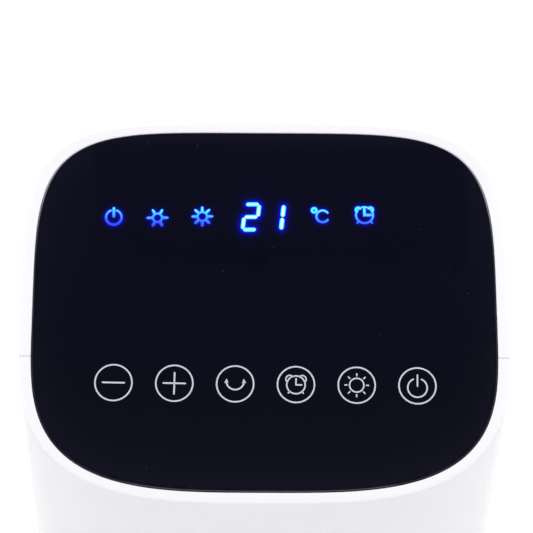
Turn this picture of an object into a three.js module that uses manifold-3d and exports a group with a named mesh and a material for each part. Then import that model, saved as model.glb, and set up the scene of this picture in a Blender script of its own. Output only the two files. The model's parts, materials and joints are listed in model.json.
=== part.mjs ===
// A tower heater: slanted touch panel on top, ceramic element and cross-flow fan inside,
// and a round base on which the tower swings from side to side.
// Lengths are in millimetres. The heater stands on the floor at z = 0, the z axis is the
// swivel axis, and the front looks towards -y.

import * as THREE from 'three';
import { mergeVertices } from 'three/addons/utils/BufferGeometryUtils.js';
import Module from 'manifold-3d';

const wasm = await Module();
wasm.setup();

// Whole heater
const overallHeight = 520;
const slantDegrees = 22;
const bodyHalfWidth = 81.2;
const bodyBackDepth = 67.8;
const bodyFrontDepth = 54.4;
const backSquareness = 4.7;
const frontSquareness = 3.2;
const wall = 2.5;
const rimFillet = 1;
const partingForwardShare = 0.164;
const outlineSteps = 8;

// Clearances
const seatGap = 0.3;
const partingGap = 0.3;
const runningGap = 0.4;
const overrun = 2;
const mergeDistance = 1e-4;

// Round base
const baseRadius = 104;
const baseHeight = 30;
const baseSkirtTop = 18;
const baseShoulderRadius = 7;
const shoulderTurnShare = 0.85;
const baseCrownMargin = 44;
const baseWall = 2.5;
const basePlateThickness = 2.5;
const footHeight = 3;
const footRadius = 8;
const footMargin = 20;
const footCount = 4;
const footTurnShare = 0.5;
const weightInnerRadius = 31;
const weightMargin = 38;
const weightThickness = 6;
const baseScrewCount = 3;
const baseScrewMargin = 20;
const baseScrewFirstDegrees = 60;
const baseBossRadius = 4.5;
const baseScrewLength = 13;

// Screws, all of one size
const screwHeadRadius = 3;
const screwHeadHeight = 1.7;
const screwShankRadius = 1.5;
const socketShare = 0.4;
const socketSides = 6;

// Swivel between base and tower
const postRadius = 20;
const postBoreRadius = 13;
const postFlangeRadius = 28;
const postFlangeThickness = 3;
const postStandOut = 3;
const postSlotHalfWidth = 4;
const postSlotHeight = 8;
const bearingInnerRadius = 36;
const bearingOuterRadius = 46;
const bearingHeight = 3.4;
const swivelPlateThickness = 3;
const gearModule = 1.2;
const gearTeeth = 45;
const pinionTeeth = 15;
const sectorTeeth = 7;
const pressureDegrees = 25;
const addendumShare = 0.9;
const dedendumShare = 1.2;
const toothBacklash = 0.24;
const centreSlack = 0.12;
const gearThickness = 8;
const pinionThickness = 7.2;
const pinionDirectionDegrees = 150;
const pinionShaftRadius = 2.5;
const pinionShaftReach = 8;
const retainerOuterRadius = 26;
const retainerThickness = 2.5;
const swivelMotorRadius = 14;
const swivelMotorHeight = 19;
const swivelMotorLift = 1;
const swivelEarReach = 17.5;
const swivelEarThickness = 1.2;
const swivelStandRadius = 4;

// Tip-over switch in the base
const tipMargin = 27;
const tipPadRadius = 7;
const tipPadHeight = 2.6;
const tipStemRadius = 4.2;
const tipCollarRadius = 6.5;
const tipCollarHeight = 1.5;
const tipTravel = 4;
const tipPegRadius = 3;
const tipHouseHalfWidth = 12;
const tipHouseHalfDepth = 8.5;
const tipHouseHeight = 17.3;
const tipBoreClearance = 0.7;
const tipSpringHeight = 5;
const tipSpringRadius = 4.6;
const tipSpringWireRadius = 0.4;
const tipSpringTurns = 3.5;

// Mains inlet in the base
const inletHeight = 12.2;
const inletBoreRadius = 3.8;
const inletTubeRadius = 5.8;
const inletFlangeRadius = 7.4;
const inletFlangeThickness = 1.6;
const inletTubeLength = 6.6;
const innerLeadRadius = 2.5;
const leadHeight = 17;
const leadRise = 12;

// Tower casing
const towerBottom = 34;
const ribThickness = 2;
const ribDepth = 3;
const lowerDeckBottom = 108;
const topRoom = 47;
const deckThickness = 3;
const deckCableMargin = 25.2;
const deckCableY = 12;
const deckCableHoleRadius = 3.6;
const shellScrewMargin = 15.2;
const shellScrewLift = 14;
const shellScrewAboveDeck = 10;
const shellPostRadius = 4.5;
const shellCounterboreDepth = 44;
const shellScrewBite = 8.9;
const shellPilotDepth = 14;

// Warm-air outlet at the front
const outletMargin = 31.2;
const outletAboveDeck = 21;
const outletBelowDeck = 14;
const outletCorner = 14;
const collarThickness = 2;
const lipWidth = 3;
const lipThickness = 2;
const grilleSetback = 1.2;
const grilleDepth = 8;
const grilleBorder = 4.5;
const louvreCount = 12;
const louvreThickness = 1.6;
const grilleBarCount = 3;
const grilleBarHeight = 3;
const grilleBarDepth = 3;

// Air intake at the back
const intakeMargin = 35.2;
const intakeAboveDeck = 17;
const intakeBelowDeck = 18;
const intakeCorner = 12;
const coverThickness = 2.4;
const coverBorder = 7;
const coverFieldInset = 0.9;
const coverFieldThickness = 1.8;
const intakeSlotPitch = 11;
const intakeSlotHeight = 6.6;
const intakeSpineHalfWidth = 2.5;
const filterThickness = 3;

// Finger grip at the upper back
const gripMargin = 41.2;
const gripAboveDeck = 14;
const gripHeight = 27;
const gripCorner = 7;
const gripDepth = 27;
const gripWall = 2;
const gripFlangeWidth = 5;
const gripFlangeThickness = 2;

// Touch panel and its tray
const rimSide = 4.2;
const rimBack = 3.1;
const rimFront = 3.6;
const panelShift = 1;
const panelBackSquareness = 4.8;
const panelFrontSquareness = 3.4;
const panelThickness = 2.2;
const trayDepth = 12.5;
const trayWall = 2.2;
const trayFloor = 2;
const ledgeWidth = 3.5;
const ledgeThickness = 2.5;
const trayScrewX = 42.2;
const trayScrewV = -28.5;
const trayBossRadius = 4.8;
const trayBossBoreRadius = 3.4;
const trayScrewLength = 13;
const tabHalfWidth = 7;
const tabReach = 8;
const tabPostRadius = 4.2;
const tabPostHeight = 9;
const boardThickness = 1.6;
const displayMargin = 25.2;
const displayV0 = 11;
const displayBackMargin = 10.8;
const moduleHalfLength = 53;
const moduleX = -6;
const moduleV = 39.2;
const moduleHalfHeight = 10;
const moduleThickness = 6;
const receiverX = -2;
const receiverV = 23.4;
const receiverHalfWidth = 3.4;
const receiverHalfHeight = 3;
const receiverThickness = 5;
const touchHalfLength = 59;
const touchV = -18.9;
const touchHalfHeight = 6.6;
const touchThickness = 1.2;
const touchPitch = 20;
const touchCount = 6;
const touchPadRadius = 5;
const touchPadHeight = 0.4;
const pillarRadius = 2.4;
const pillarInset = 6;
const ribHalfThickness = 1;
const trayCableX = 40;
const trayCableV = 19;

// Cross-flow fan
const fanX = 8;
const intakeRoom = 10.1;
const ductRoom = 5;
const bladeDepth = 7;
const fanDiscThickness = 2;
const fanSections = 2;
const bladeCount = 16;
const bladeThickness = 1.2;
const bladeSweepDegrees = 14;
const bladeRootTurnDegrees = 22;
const bladeSpineShares = [0, 0.5, 1];
const fanEndClearance = 4;
const fanShaftRadius = 3;
const fanShaftInMotor = 20;
const fanShaftAboveDeck = 4;
const fanMotorMargin = 6;
const fanMotorHeight = 30;
const fanMotorBossRadius = 9;
const fanMotorBossHeight = 2.5;
const deckShaftHoleRadius = 8;
const bushFlangeRadius = 11;
const bushFlangeThickness = 2;
const ductClearance = 3;
const ductThickness = 1.8;
const ductStartDegrees = 55;
const ductEndDegrees = -38;
const ductFlare = 15;
const tongueDegrees = 205;
const tongueRadius = 2.6;

// Ceramic element
const frameHalfWidth = 34;
const outletRoom = 21.1;
const frameDepth = 24;
const coreSide = 6;
const coreInset = 4;
const coreAboveDeck = 15;
const coreBelowDeck = 20;
const coreLip = 2;
const ceramicBarWidth = 4;
const finColumns = 3;
const finPitch = 19.8;
const finThickness = 1.4;
const cutoutRadius = 6;
const cutoutDepth = 6;

// Mains electronics and switch
const powerMargin = 35.2;
const powerRoom = 13.6;
const powerBottomClearance = 0.3;
const powerHeight = 58;
const guideWidth = 6;
const guideDepth = 7;
const guideHeight = 26;
const guideOverlap = 2.5;
const relayWidth = 15;
const relayHeight = 19;
const relayDepth = 15;
const relayInset = 16;
const relaySpacing = 18;
const relayLift = 41;
const capacitorRadius = 8;
const capacitorDepth = 20;
const capacitorInset = 14.6;
const capacitorLift = 37;
const switchX = 27;
const switchLift = 42;
const switchHalfWidth = 6.5;
const switchHalfHeight = 9.5;
const switchBezel = 1.6;
const switchBezelThickness = 1.2;
const switchBodyDepth = 17;
const rockerHalfWidth = 4.8;
const rockerHalfHeight = 7;
const rockerWellDepth = 9;
const rockerPivotDepth = 3.5;
const rockerProud = 2.2;
const rockerDish = 1;
const rockerTiltDegrees = 10;
const rockerSkirt = 3;

// Facets
const fineSides = 36;
const roundSides = 20;
const smallSides = 8;
const cableSides = 6;
const leadSteps = 26;
const cableSteps = 30;
const springStepsPerTurn = 8;
const cornerSteps = 3;

// Worked out from the sizes above
const slant = THREE.MathUtils.degToRad(slantDegrees);
const sectionY = (bodyFrontDepth - bodyBackDepth) / 2;
const rimPlaneZ = overallHeight - (bodyBackDepth - rimFillet) * Math.tan(slant);
const backY = sectionY + bodyBackDepth;
const frontY = sectionY - bodyFrontDepth;
const partingY = sectionY - bodyFrontDepth * partingForwardShare;
const frontRimZ = rimPlaneZ - bodyFrontDepth * Math.tan(slant);
const far = overallHeight + overrun;
const basePlateBottom = footHeight + seatGap;
const basePlateTop = basePlateBottom + basePlateThickness;
const baseFloor = basePlateTop + seatGap;
const baseCrownRadius = baseRadius - baseCrownMargin;
const footCircleRadius = baseRadius - footMargin;
const baseScrewCircleRadius = baseRadius - baseScrewMargin;
const weightOuterRadius = baseRadius - weightMargin;
const tipPlace = baseRadius - tipMargin;
const swivelPlateTop = towerBottom + swivelPlateThickness;
const gearBottom = swivelPlateTop + runningGap;
const gearTop = gearBottom + gearThickness;
const retainerBottom = gearTop + seatGap;
const postTop = retainerBottom + retainerThickness + postStandOut;
const swivelMotorBottom = retainerBottom + retainerThickness + swivelMotorLift;
const lowerDeckTop = lowerDeckBottom + deckThickness;
const upperDeckBottom = frontRimZ - topRoom;
const upperDeckTop = upperDeckBottom + deckThickness;
const deckCableX = bodyHalfWidth - deckCableMargin;
const shellScrewX = bodyHalfWidth - shellScrewMargin;
const shellScrewLowZ = towerBottom + shellScrewLift;
const shellScrewHighZ = upperDeckTop + shellScrewAboveDeck;
const outletHalfWidth = bodyHalfWidth - outletMargin;
const outletBottom = lowerDeckTop + outletAboveDeck;
const outletTop = upperDeckBottom - outletBelowDeck;
const intakeHalfWidth = bodyHalfWidth - intakeMargin;
const intakeBottom = lowerDeckTop + intakeAboveDeck;
const intakeTop = upperDeckBottom - intakeBelowDeck;
const gripHalfWidth = bodyHalfWidth - gripMargin;
const gripBottom = upperDeckTop + gripAboveDeck;
const gripTop = gripBottom + gripHeight;
const trayTopW = -panelThickness - seatGap;
const trayFloorW = trayTopW - trayDepth + trayFloor;
const trayBottomW = trayTopW - trayDepth;
const ledgeTopW = trayBottomW - seatGap;
const ledgeBottomW = ledgeTopW - ledgeThickness;
const grilleBackDepth = grilleSetback + grilleDepth;
const displayX1 = bodyHalfWidth - displayMargin;
const displayX0 = -displayX1;
const displayV1 = bodyBackDepth - displayBackMargin;
const frameFrontY = frontY + outletRoom;
const frameBackY = frameFrontY + frameDepth;
const coreHalfWidth = frameHalfWidth - coreSide;
const coreFrontY = frameFrontY + coreInset;
const coreBackY = frameBackY - coreInset;
const coreBottom = lowerDeckTop + coreAboveDeck;
const coreTop = upperDeckBottom - coreBelowDeck;
const fanRadius = (backY - frameBackY - intakeRoom - ductRoom) / 2;
const fanY = backY - intakeRoom - fanRadius;
const fanInnerRadius = fanRadius - bladeDepth;
const fanMotorRadius = fanRadius - fanMotorMargin;
const ductEndRadius = fanRadius + ductFlare;
const powerHalfWidth = bodyHalfWidth - powerMargin;
const powerFrontY = frontY + powerRoom;
const relayX = powerHalfWidth - relayInset;
const capacitorX = capacitorInset - powerHalfWidth;
const relayZ = swivelPlateTop + relayLift;
const capacitorZ = swivelPlateTop + capacitorLift;
const switchZ = towerBottom + switchLift;
const shellCounterboreEnd = backY - shellCounterboreDepth;
const shellScrewLength = shellCounterboreEnd + seatGap - partingY + shellScrewBite;

// Materials
const finish = (colour, roughness, metalness = 0) =>
  new THREE.MeshStandardMaterial({ color: colour, roughness, metalness });
const whiteGloss = () => finish(0xf4f5f6, 0.22);
const blackGloss = () => finish(0x0b0b14, 0.08);
const darkPlastic = () => finish(0x2b2c30, 0.5);
const blackPlastic = () => finish(0x17181b, 0.45);
const greyPlastic = () => finish(0x9a9c9f, 0.5);
const creamPlastic = () => finish(0xe6e2d6, 0.45);
const rubber = () => finish(0x202124, 0.85);
const steel = () => finish(0xb5b8bc, 0.35, 0.9);
const aluminium = () => finish(0xc9ccd0, 0.35, 0.85);
const circuitGreen = () => finish(0x1f5f3d, 0.5);
const bluePlastic = () => finish(0x2a5fa8, 0.4);
const meshGrey = () => finish(0x55585c, 0.9);

// Solids

// Turns any closed geometry into a solid with its faces pointing out.
function solid(geometry) {
  const bare = geometry.index ? geometry.toNonIndexed() : geometry.clone();
  bare.deleteAttribute('normal');
  bare.deleteAttribute('uv');
  const merged = mergeVertices(bare, mergeDistance);
  const places = merged.attributes.position;
  const corners = [new THREE.Vector3(), new THREE.Vector3(), new THREE.Vector3()];
  const triangles = [];
  let volume = 0;
  for (let i = 0; i < merged.index.count; i += 3) {
    const [a, b, c] = [0, 1, 2].map((k) => merged.index.getX(i + k));
    if (a === b || b === c || c === a) continue;
    [a, b, c].forEach((vertex, k) => corners[k].fromBufferAttribute(places, vertex));
    volume += corners[0].dot(corners[1].clone().cross(corners[2]));
    triangles.push([a, b, c]);
  }
  const outward = volume > 0 ? triangles : triangles.map(([a, b, c]) => [a, c, b]);
  const vertProperties = new Float32Array(places.array);
  const triVerts = new Uint32Array(outward.flat());
  return new wasm.Manifold(new wasm.Mesh({ numProp: 3, vertProperties, triVerts }));
}

// Turns a solid back into a geometry.
function geometryOf(shape) {
  const mesh = shape.getMesh();
  const geometry = new THREE.BufferGeometry();
  geometry.setAttribute('position', new THREE.BufferAttribute(mesh.vertProperties, 3));
  geometry.setIndex(Array.from(mesh.triVerts));
  geometry.computeVertexNormals();
  return geometry;
}

const join = (...shapes) => shapes.flat().reduce((whole, shape) => whole.add(shape));
const cut = (shape, ...tools) => tools.flat().reduce((left, tool) => left.subtract(tool), shape);
const keep = (shape, other) => shape.intersect(other);

// Plain shapes, each placed in the heater's frame

function boxGeometry(x0, x1, y0, y1, z0, z1) {
  const box = new THREE.BoxGeometry(x1 - x0, y1 - y0, z1 - z0);
  return box.translate((x0 + x1) / 2, (y0 + y1) / 2, (z0 + z1) / 2);
}

function drumGeometry(x, y, radius, z0, z1, sides = roundSides) {
  const drum = new THREE.CylinderGeometry(radius, radius, z1 - z0, sides);
  return drum.rotateX(Math.PI / 2).translate(x, y, (z0 + z1) / 2);
}

const box = (...sizes) => solid(boxGeometry(...sizes));
const drum = (...sizes) => solid(drumGeometry(...sizes));

// A cylinder along y.
function rod(x, z, radius, y0, y1, sides = smallSides) {
  const shape = new THREE.CylinderGeometry(radius, radius, y1 - y0, sides);
  return solid(shape.translate(x, (y0 + y1) / 2, z));
}

// An upright prism on an outline in the x-y plane.
function prism(outline, z0, z1) {
  const shape = new THREE.Shape(outline);
  const body = new THREE.ExtrudeGeometry(shape, { depth: z1 - z0, bevelEnabled: false });
  return solid(body.translate(0, 0, z0));
}

// A ring with a square section.
function ring(x, y, inner, outer, z0, z1, sides = roundSides) {
  const hole = drum(x, y, inner, z0 - overrun, z1 + overrun, sides);
  return cut(drum(x, y, outer, z0, z1, sides), hole);
}

// A solid of revolution about the z axis.
function turned(profile, sides = fineSides) {
  const points = profile.map(([radius, z]) => new THREE.Vector2(radius, z));
  points.push(points[0].clone());
  return solid(new THREE.LatheGeometry(points, sides).rotateX(Math.PI / 2));
}

// A tube of the given radius along a smooth curve.
function tube(curve, radius, steps, sides = cableSides) {
  const section = new THREE.Shape();
  section.absarc(0, 0, radius, 0, 2 * Math.PI);
  const settings = { steps, extrudePath: curve, curveSegments: sides / 2, bevelEnabled: false };
  return solid(new THREE.ExtrudeGeometry(section, settings));
}

// Joins equal rings of points, from the lowest to the highest, with a flat end on both.
function loft(rings) {
  const count = rings[0].length;
  const places = rings.flat().flatMap((p) => [p.x, p.y, p.z]);
  const faces = [];
  for (let level = 0; level < rings.length - 1; level += 1) {
    for (let i = 0; i < count; i += 1) {
      const a = level * count + i;
      const b = level * count + ((i + 1) % count);
      faces.push(a, b, b + count, a, b + count, a + count);
    }
  }
  const top = (rings.length - 1) * count;
  for (let i = 1; i < count - 1; i += 1) {
    faces.push(0, i + 1, i);
    faces.push(top, top + i, top + i + 1);
  }
  const geometry = new THREE.BufferGeometry();
  geometry.setAttribute('position', new THREE.Float32BufferAttribute(places, 3));
  geometry.setIndex(faces);
  return solid(geometry);
}

// Outlines

// A rounded rectangle that is wider at the widest line and has its own roundness on each side.
function squircle(halfWidth, back, front, backPower, frontPower, centreY) {
  const points = [];
  for (let i = 0; i < 4 * outlineSteps; i += 1) {
    const angle = (i / outlineSteps) * (Math.PI / 2);
    const cosine = Math.cos(angle);
    const sine = Math.sin(angle);
    const depth = sine >= 0 ? back : front;
    const share = 2 / (sine >= 0 ? backPower : frontPower);
    const x = Math.sign(cosine) * halfWidth * Math.abs(cosine) ** share;
    const y = Math.sign(sine) * depth * Math.abs(sine) ** share;
    points.push(new THREE.Vector2(x, centreY + y));
  }
  return points;
}

// The same outline drawn in by a distance, for outlines that bulge everywhere.
function inset(outline, distance) {
  return outline.map((point, i) => {
    const before = outline[(i + outline.length - 1) % outline.length];
    const after = outline[(i + 1) % outline.length];
    const one = point.clone().sub(before).normalize();
    const two = after.clone().sub(point).normalize();
    const inwardOne = new THREE.Vector2(-one.y, one.x);
    const inwardTwo = new THREE.Vector2(-two.y, two.x);
    const mitre = inwardOne.clone().add(inwardTwo);
    return point.clone().addScaledVector(mitre, distance / (1 + inwardOne.dot(inwardTwo)));
  });
}

function roundedRectangle(x0, x1, z0, z1, corner) {
  const centres = [
    [x1 - corner, z0 + corner, -Math.PI / 2],
    [x1 - corner, z1 - corner, 0],
    [x0 + corner, z1 - corner, Math.PI / 2],
    [x0 + corner, z0 + corner, Math.PI],
  ];
  const points = [];
  for (const [x, z, start] of centres) {
    for (let i = 0; i <= cornerSteps; i += 1) {
      const angle = start + (i / cornerSteps) * (Math.PI / 2);
      points.push(new THREE.Vector2(x + corner * Math.cos(angle), z + corner * Math.sin(angle)));
    }
  }
  return points;
}

// Tower shapes

const bodyOutline = squircle(
  bodyHalfWidth, bodyBackDepth, bodyFrontDepth, backSquareness, frontSquareness, sectionY);
const panelOutline = squircle(
  bodyHalfWidth - rimSide, bodyBackDepth - rimBack - panelShift,
  bodyFrontDepth - rimFront + panelShift, panelBackSquareness, panelFrontSquareness,
  sectionY + panelShift);

const level = (outline, z) => outline.map((p) => new THREE.Vector3(p.x, p.y, z));

// An outline lifted onto a plane that lies w above the slanted top, measured square to it.
function slanted(outline, w) {
  const height = (p) => rimPlaneZ + (p.y - sectionY) * Math.tan(slant) + w / Math.cos(slant);
  return outline.map((p) => new THREE.Vector3(p.x, p.y, height(p)));
}

const slantedSlab = (outline, low, high) => loft([slanted(outline, low), slanted(outline, high)]);
const uprightTo = (outline, bottom, w) => loft([level(outline, bottom), slanted(outline, w)]);

// Moves a geometry made in the panel's own frame (x, v up the slope, w out of it) onto the top.
function onTop(geometry) {
  return geometry.rotateX(slant).translate(0, sectionY, rimPlaneZ);
}

const topBox = (...sizes) => solid(onTop(boxGeometry(...sizes)));
const topDrum = (...sizes) => solid(onTop(drumGeometry(...sizes)));

// The layer of the tower's side wall between two depths, from one height to another.
function skin(outer, inner, z0, z1) {
  const hollow = prism(inset(bodyOutline, inner), z0 - overrun, z1 + overrun);
  return cut(prism(inset(bodyOutline, outer), z0, z1), hollow);
}

// A rounded opening seen from the front or the back, grown on every side.
function windowThrough(opening, growth, side) {
  const { halfWidth, bottom, top, corner } = opening;
  const across = halfWidth + growth;
  const outline = roundedRectangle(
    -across, across, bottom - growth, top + growth, corner + growth);
  const shape = new THREE.Shape(outline);
  const depth = far;
  const body = new THREE.ExtrudeGeometry(shape, { depth, bevelEnabled: false });
  body.rotateX(Math.PI / 2);
  return solid(body.translate(0, side > 0 ? depth : 0, 0));
}

const front = -1;
const rear = 1;
const outlet = {
  halfWidth: outletHalfWidth, bottom: outletBottom, top: outletTop, corner: outletCorner,
};
const intake = {
  halfWidth: intakeHalfWidth, bottom: intakeBottom, top: intakeTop, corner: intakeCorner,
};
const grip = { halfWidth: gripHalfWidth, bottom: gripBottom, top: gripTop, corner: gripCorner };

// The collar and inner lip that seat a cover of the given depth in an opening.
function seatFor(opening, side, coverDepth) {
  const z0 = opening.bottom - collarThickness - overrun;
  const z1 = opening.top + collarThickness + overrun;
  const lipStart = coverDepth + seatGap;
  const lipEnd = lipStart + lipThickness;
  const around = windowThrough(opening, collarThickness, side);
  const collar = cut(keep(skin(wall / 2, lipEnd, z0, z1), around), windowThrough(opening, 0, side));
  const lip = cut(
    keep(skin(lipStart, lipEnd, z0, z1), around), windowThrough(opening, -lipWidth, side));
  return join(collar, lip);
}

// Assembly

const heater = new THREE.Group();
const base = new THREE.Group();
const tower = new THREE.Group();
const panelGroup = new THREE.Group();
panelGroup.position.set(0, sectionY, rimPlaneZ);
panelGroup.rotation.x = slant;
tower.add(panelGroup);
heater.add(base, tower);

function piece(name, shape, material, home) {
  const mesh = new THREE.Mesh(geometryOf(shape), material);
  mesh.name = name;
  home.add(mesh);
  return mesh;
}

function onCircle(radius, degrees) {
  const angle = THREE.MathUtils.degToRad(degrees);
  return [radius * Math.cos(angle), radius * Math.sin(angle)];
}

// Screws stand on their point along +z, with the underside of the head at the origin.
function screwShape(length) {
  const head = drum(0, 0, screwHeadRadius, 0, screwHeadHeight, smallSides);
  const shank = drum(0, 0, screwShankRadius, -length, overrun / 2, smallSides);
  const socket = drum(
    0, 0, screwShankRadius, screwHeadHeight * socketShare, screwHeadHeight + overrun, socketSides);
  return cut(join(head, shank), socket);
}

const screwHole = screwShankRadius + seatGap;
const headHole = screwHeadRadius + seatGap;

// Round base

const baseScrewPlaces = Array.from({ length: baseScrewCount }, (_, i) =>
  onCircle(baseScrewCircleRadius, baseScrewFirstDegrees + (i * 360) / baseScrewCount));
const footPlaces = Array.from({ length: footCount }, (_, i) =>
  onCircle(footCircleRadius, ((i + footTurnShare) * 360) / footCount));

// Outer profile of the base cover, from the skirt's foot to the hole at its centre.
function coverProfile(shrink) {
  const shoulder = baseShoulderRadius - shrink;
  const centreR = baseRadius - baseShoulderRadius;
  const profile = [[baseRadius - shrink, basePlateBottom]];
  for (let i = 0; i <= cornerSteps; i += 1) {
    const angle = (i / cornerSteps) * (Math.PI / 2) * shoulderTurnShare;
    profile.push([centreR + shoulder * Math.cos(angle), baseSkirtTop + shoulder * Math.sin(angle)]);
  }
  profile.push([baseCrownRadius, baseHeight - shrink]);
  profile.push([postRadius + seatGap, baseHeight - shrink]);
  return profile;
}

function makeBaseCover() {
  const profile = [...coverProfile(0), ...coverProfile(baseWall).reverse()];
  let cover = turned(profile);
  for (const [x, y] of baseScrewPlaces) {
    const bossTop = baseHeight - baseWall - overrun;
    const holeTop = baseFloor + baseScrewLength;
    cover = join(cover, drum(x, y, baseBossRadius, baseFloor, bossTop, smallSides));
    cover = cut(cover, drum(x, y, screwHole, baseFloor - overrun, holeTop, smallSides));
  }
  const inlet = rod(
    0, inletHeight, inletTubeRadius + seatGap, baseRadius / 2, baseRadius + overrun, roundSides);
  return cut(cover, inlet);
}
piece('base_cover', makeBaseCover(), whiteGloss(), base);

function makeBasePlate() {
  const radius = baseRadius - baseWall - seatGap;
  let plate = drum(0, 0, radius, basePlateBottom, basePlateTop, fineSides);
  for (const [x, y] of baseScrewPlaces) {
    plate = cut(plate, drum(x, y, screwHole, 0, basePlateTop + overrun, smallSides));
    const recessTop = basePlateBottom + screwHeadHeight;
    plate = cut(plate, drum(x, y, headHole, 0, recessTop, smallSides));
  }
  return cut(plate, drum(0, -tipPlace, tipStemRadius + runningGap, 0, far, smallSides));
}
piece('base_plate', makeBasePlate(), blackPlastic(), base);

const weightTop = baseFloor + weightThickness;
piece('base_weight',
  ring(0, 0, weightInnerRadius, weightOuterRadius, baseFloor, weightTop, fineSides), steel(), base);

footPlaces.forEach(([x, y], i) => {
  const foot = piece(`foot_${i + 1}`, drum(0, 0, footRadius, 0, footHeight), rubber(), base);
  foot.position.set(x, y, 0);
});

const baseScrew = screwShape(baseScrewLength - overrun);
baseScrewPlaces.forEach(([x, y], i) => {
  const screw = piece(`base_screw_${i + 1}`, baseScrew, steel(), base);
  screw.position.set(x, y, basePlateBottom + screwHeadHeight - seatGap);
  screw.rotation.x = Math.PI;
});

function makeGrommet() {
  const outerEnd = baseRadius - seatGap;
  const innerRadius = (baseRadius - baseWall) * Math.cos(Math.PI / fineSides);
  const innerWallY = Math.sqrt(innerRadius ** 2 - inletFlangeRadius ** 2);
  const flangeEnd = innerWallY - seatGap;
  const sleeve = rod(0, inletHeight, inletTubeRadius, outerEnd - inletTubeLength, outerEnd, roundSides);
  const flange = rod(
    0, inletHeight, inletFlangeRadius, flangeEnd - inletFlangeThickness, flangeEnd, roundSides);
  const flangeFloor = box(-far, far, 0, far, baseFloor, far);
  const bore = rod(0, inletHeight, inletBoreRadius, 0, baseRadius + overrun, roundSides);
  return cut(join(sleeve, keep(flange, flangeFloor)), bore);
}
piece('cord_grommet', makeGrommet(), rubber(), base);

// Swivel

function makePost() {
  const flangeTop = baseFloor + postFlangeThickness;
  const post = join(
    drum(0, 0, postFlangeRadius, baseFloor, flangeTop),
    drum(0, 0, postRadius, baseFloor, postTop));
  const slot = box(
    -postSlotHalfWidth, postSlotHalfWidth, 0, postRadius + overrun,
    leadHeight - postSlotHeight / 2, leadHeight + postSlotHeight / 2);
  return cut(post, drum(0, 0, postBoreRadius, 0, far), slot);
}
piece('swivel_post', makePost(), greyPlastic(), base);

const bearingBottom = baseHeight + seatGap;
piece('bearing_ring',
  ring(0, 0, bearingInnerRadius, bearingOuterRadius, bearingBottom, bearingBottom + bearingHeight,
    fineSides), creamPlastic(), base);
piece('retaining_ring',
  ring(0, 0, postRadius + seatGap, retainerOuterRadius, retainerBottom,
    retainerBottom + retainerThickness), steel(), base);

const involute = (angle) => Math.tan(angle) - angle;

// The outline of a spur gear with one tooth centred on the x axis. Only the given number of
// teeth on each side of that tooth is cut, and the rest of the rim is plain.
function gearOutline(teeth, cutEachSide) {
  const pitchRadius = (teeth * gearModule) / 2;
  const pressure = THREE.MathUtils.degToRad(pressureDegrees);
  const baseCircle = pitchRadius * Math.cos(pressure);
  const tip = pitchRadius + addendumShare * gearModule;
  const root = pitchRadius - dedendumShare * gearModule;
  const halfTooth = Math.PI / (2 * teeth) - toothBacklash / (2 * pitchRadius);
  const halfAngle = (radius) => {
    const here = Math.acos(Math.min(1, baseCircle / radius));
    return halfTooth + involute(pressure) - involute(here);
  };
  const flank = [root, Math.max(root, baseCircle), pitchRadius, tip];
  const points = [];
  const first = -Math.min(cutEachSide, Math.floor((teeth - 1) / 2));
  for (let tooth = first; tooth < first + teeth; tooth += 1) {
    const centre = (2 * Math.PI * tooth) / teeth;
    if (tooth > cutEachSide) {
      points.push(new THREE.Vector2(root * Math.cos(centre), root * Math.sin(centre)));
      continue;
    }
    const rising = flank.map((radius) => [radius, centre - halfAngle(radius)]);
    const falling = flank.map((radius) => [radius, centre + halfAngle(radius)]).reverse();
    for (const [radius, angle] of [...rising, ...falling]) {
      points.push(new THREE.Vector2(radius * Math.cos(angle), radius * Math.sin(angle)));
    }
  }
  return points.filter((p, i) => i === 0 || p.distanceTo(points[i - 1]) > mergeDistance);
}

const pinionDirection = THREE.MathUtils.degToRad(pinionDirectionDegrees);
const centreDistance = ((gearTeeth + pinionTeeth) * gearModule) / 2 + centreSlack;
const [pinionX, pinionY] = onCircle(centreDistance, pinionDirectionDegrees);

const gearBore = drum(0, 0, postRadius + seatGap, -overrun, far);
const gear = piece('oscillation_gear',
  cut(prism(gearOutline(gearTeeth, sectorTeeth), 0, gearThickness), gearBore), creamPlastic(), base);
gear.position.z = gearBottom;
gear.rotation.z = pinionDirection;

const pinionBottom = gearBottom + (gearThickness - pinionThickness) / 2;
const pinionShaftTop = swivelMotorBottom + pinionShaftReach;
const pinionShape = join(
  prism(gearOutline(pinionTeeth, pinionTeeth), 0, pinionThickness),
  drum(0, 0, pinionShaftRadius, 0, pinionShaftTop - pinionBottom, smallSides));
const pinion = piece('swivel_pinion', pinionShape, creamPlastic(), tower);
pinion.position.set(pinionX, pinionY, pinionBottom);
pinion.rotation.z = pinionDirection + Math.PI + Math.PI / pinionTeeth;

function makeSwivelMotor() {
  const can = drum(0, 0, swivelMotorRadius, 0, swivelMotorHeight);
  const bar = box(
    -swivelEarReach, swivelEarReach, -swivelStandRadius, swivelStandRadius, 0, swivelEarThickness);
  const ears = [-1, 1].map((side) =>
    drum(side * swivelEarReach, 0, swivelStandRadius, 0, swivelEarThickness, smallSides));
  const bore = drum(
    0, 0, pinionShaftRadius + runningGap, -overrun, pinionShaftReach + overrun, smallSides);
  return cut(join(can, bar, ears), bore);
}
const swivelMotor = piece('swivel_motor', makeSwivelMotor(), steel(), tower);
swivelMotor.position.set(pinionX, pinionY, swivelMotorBottom);
swivelMotor.rotation.z = pinionDirection + Math.PI / 2;

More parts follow.
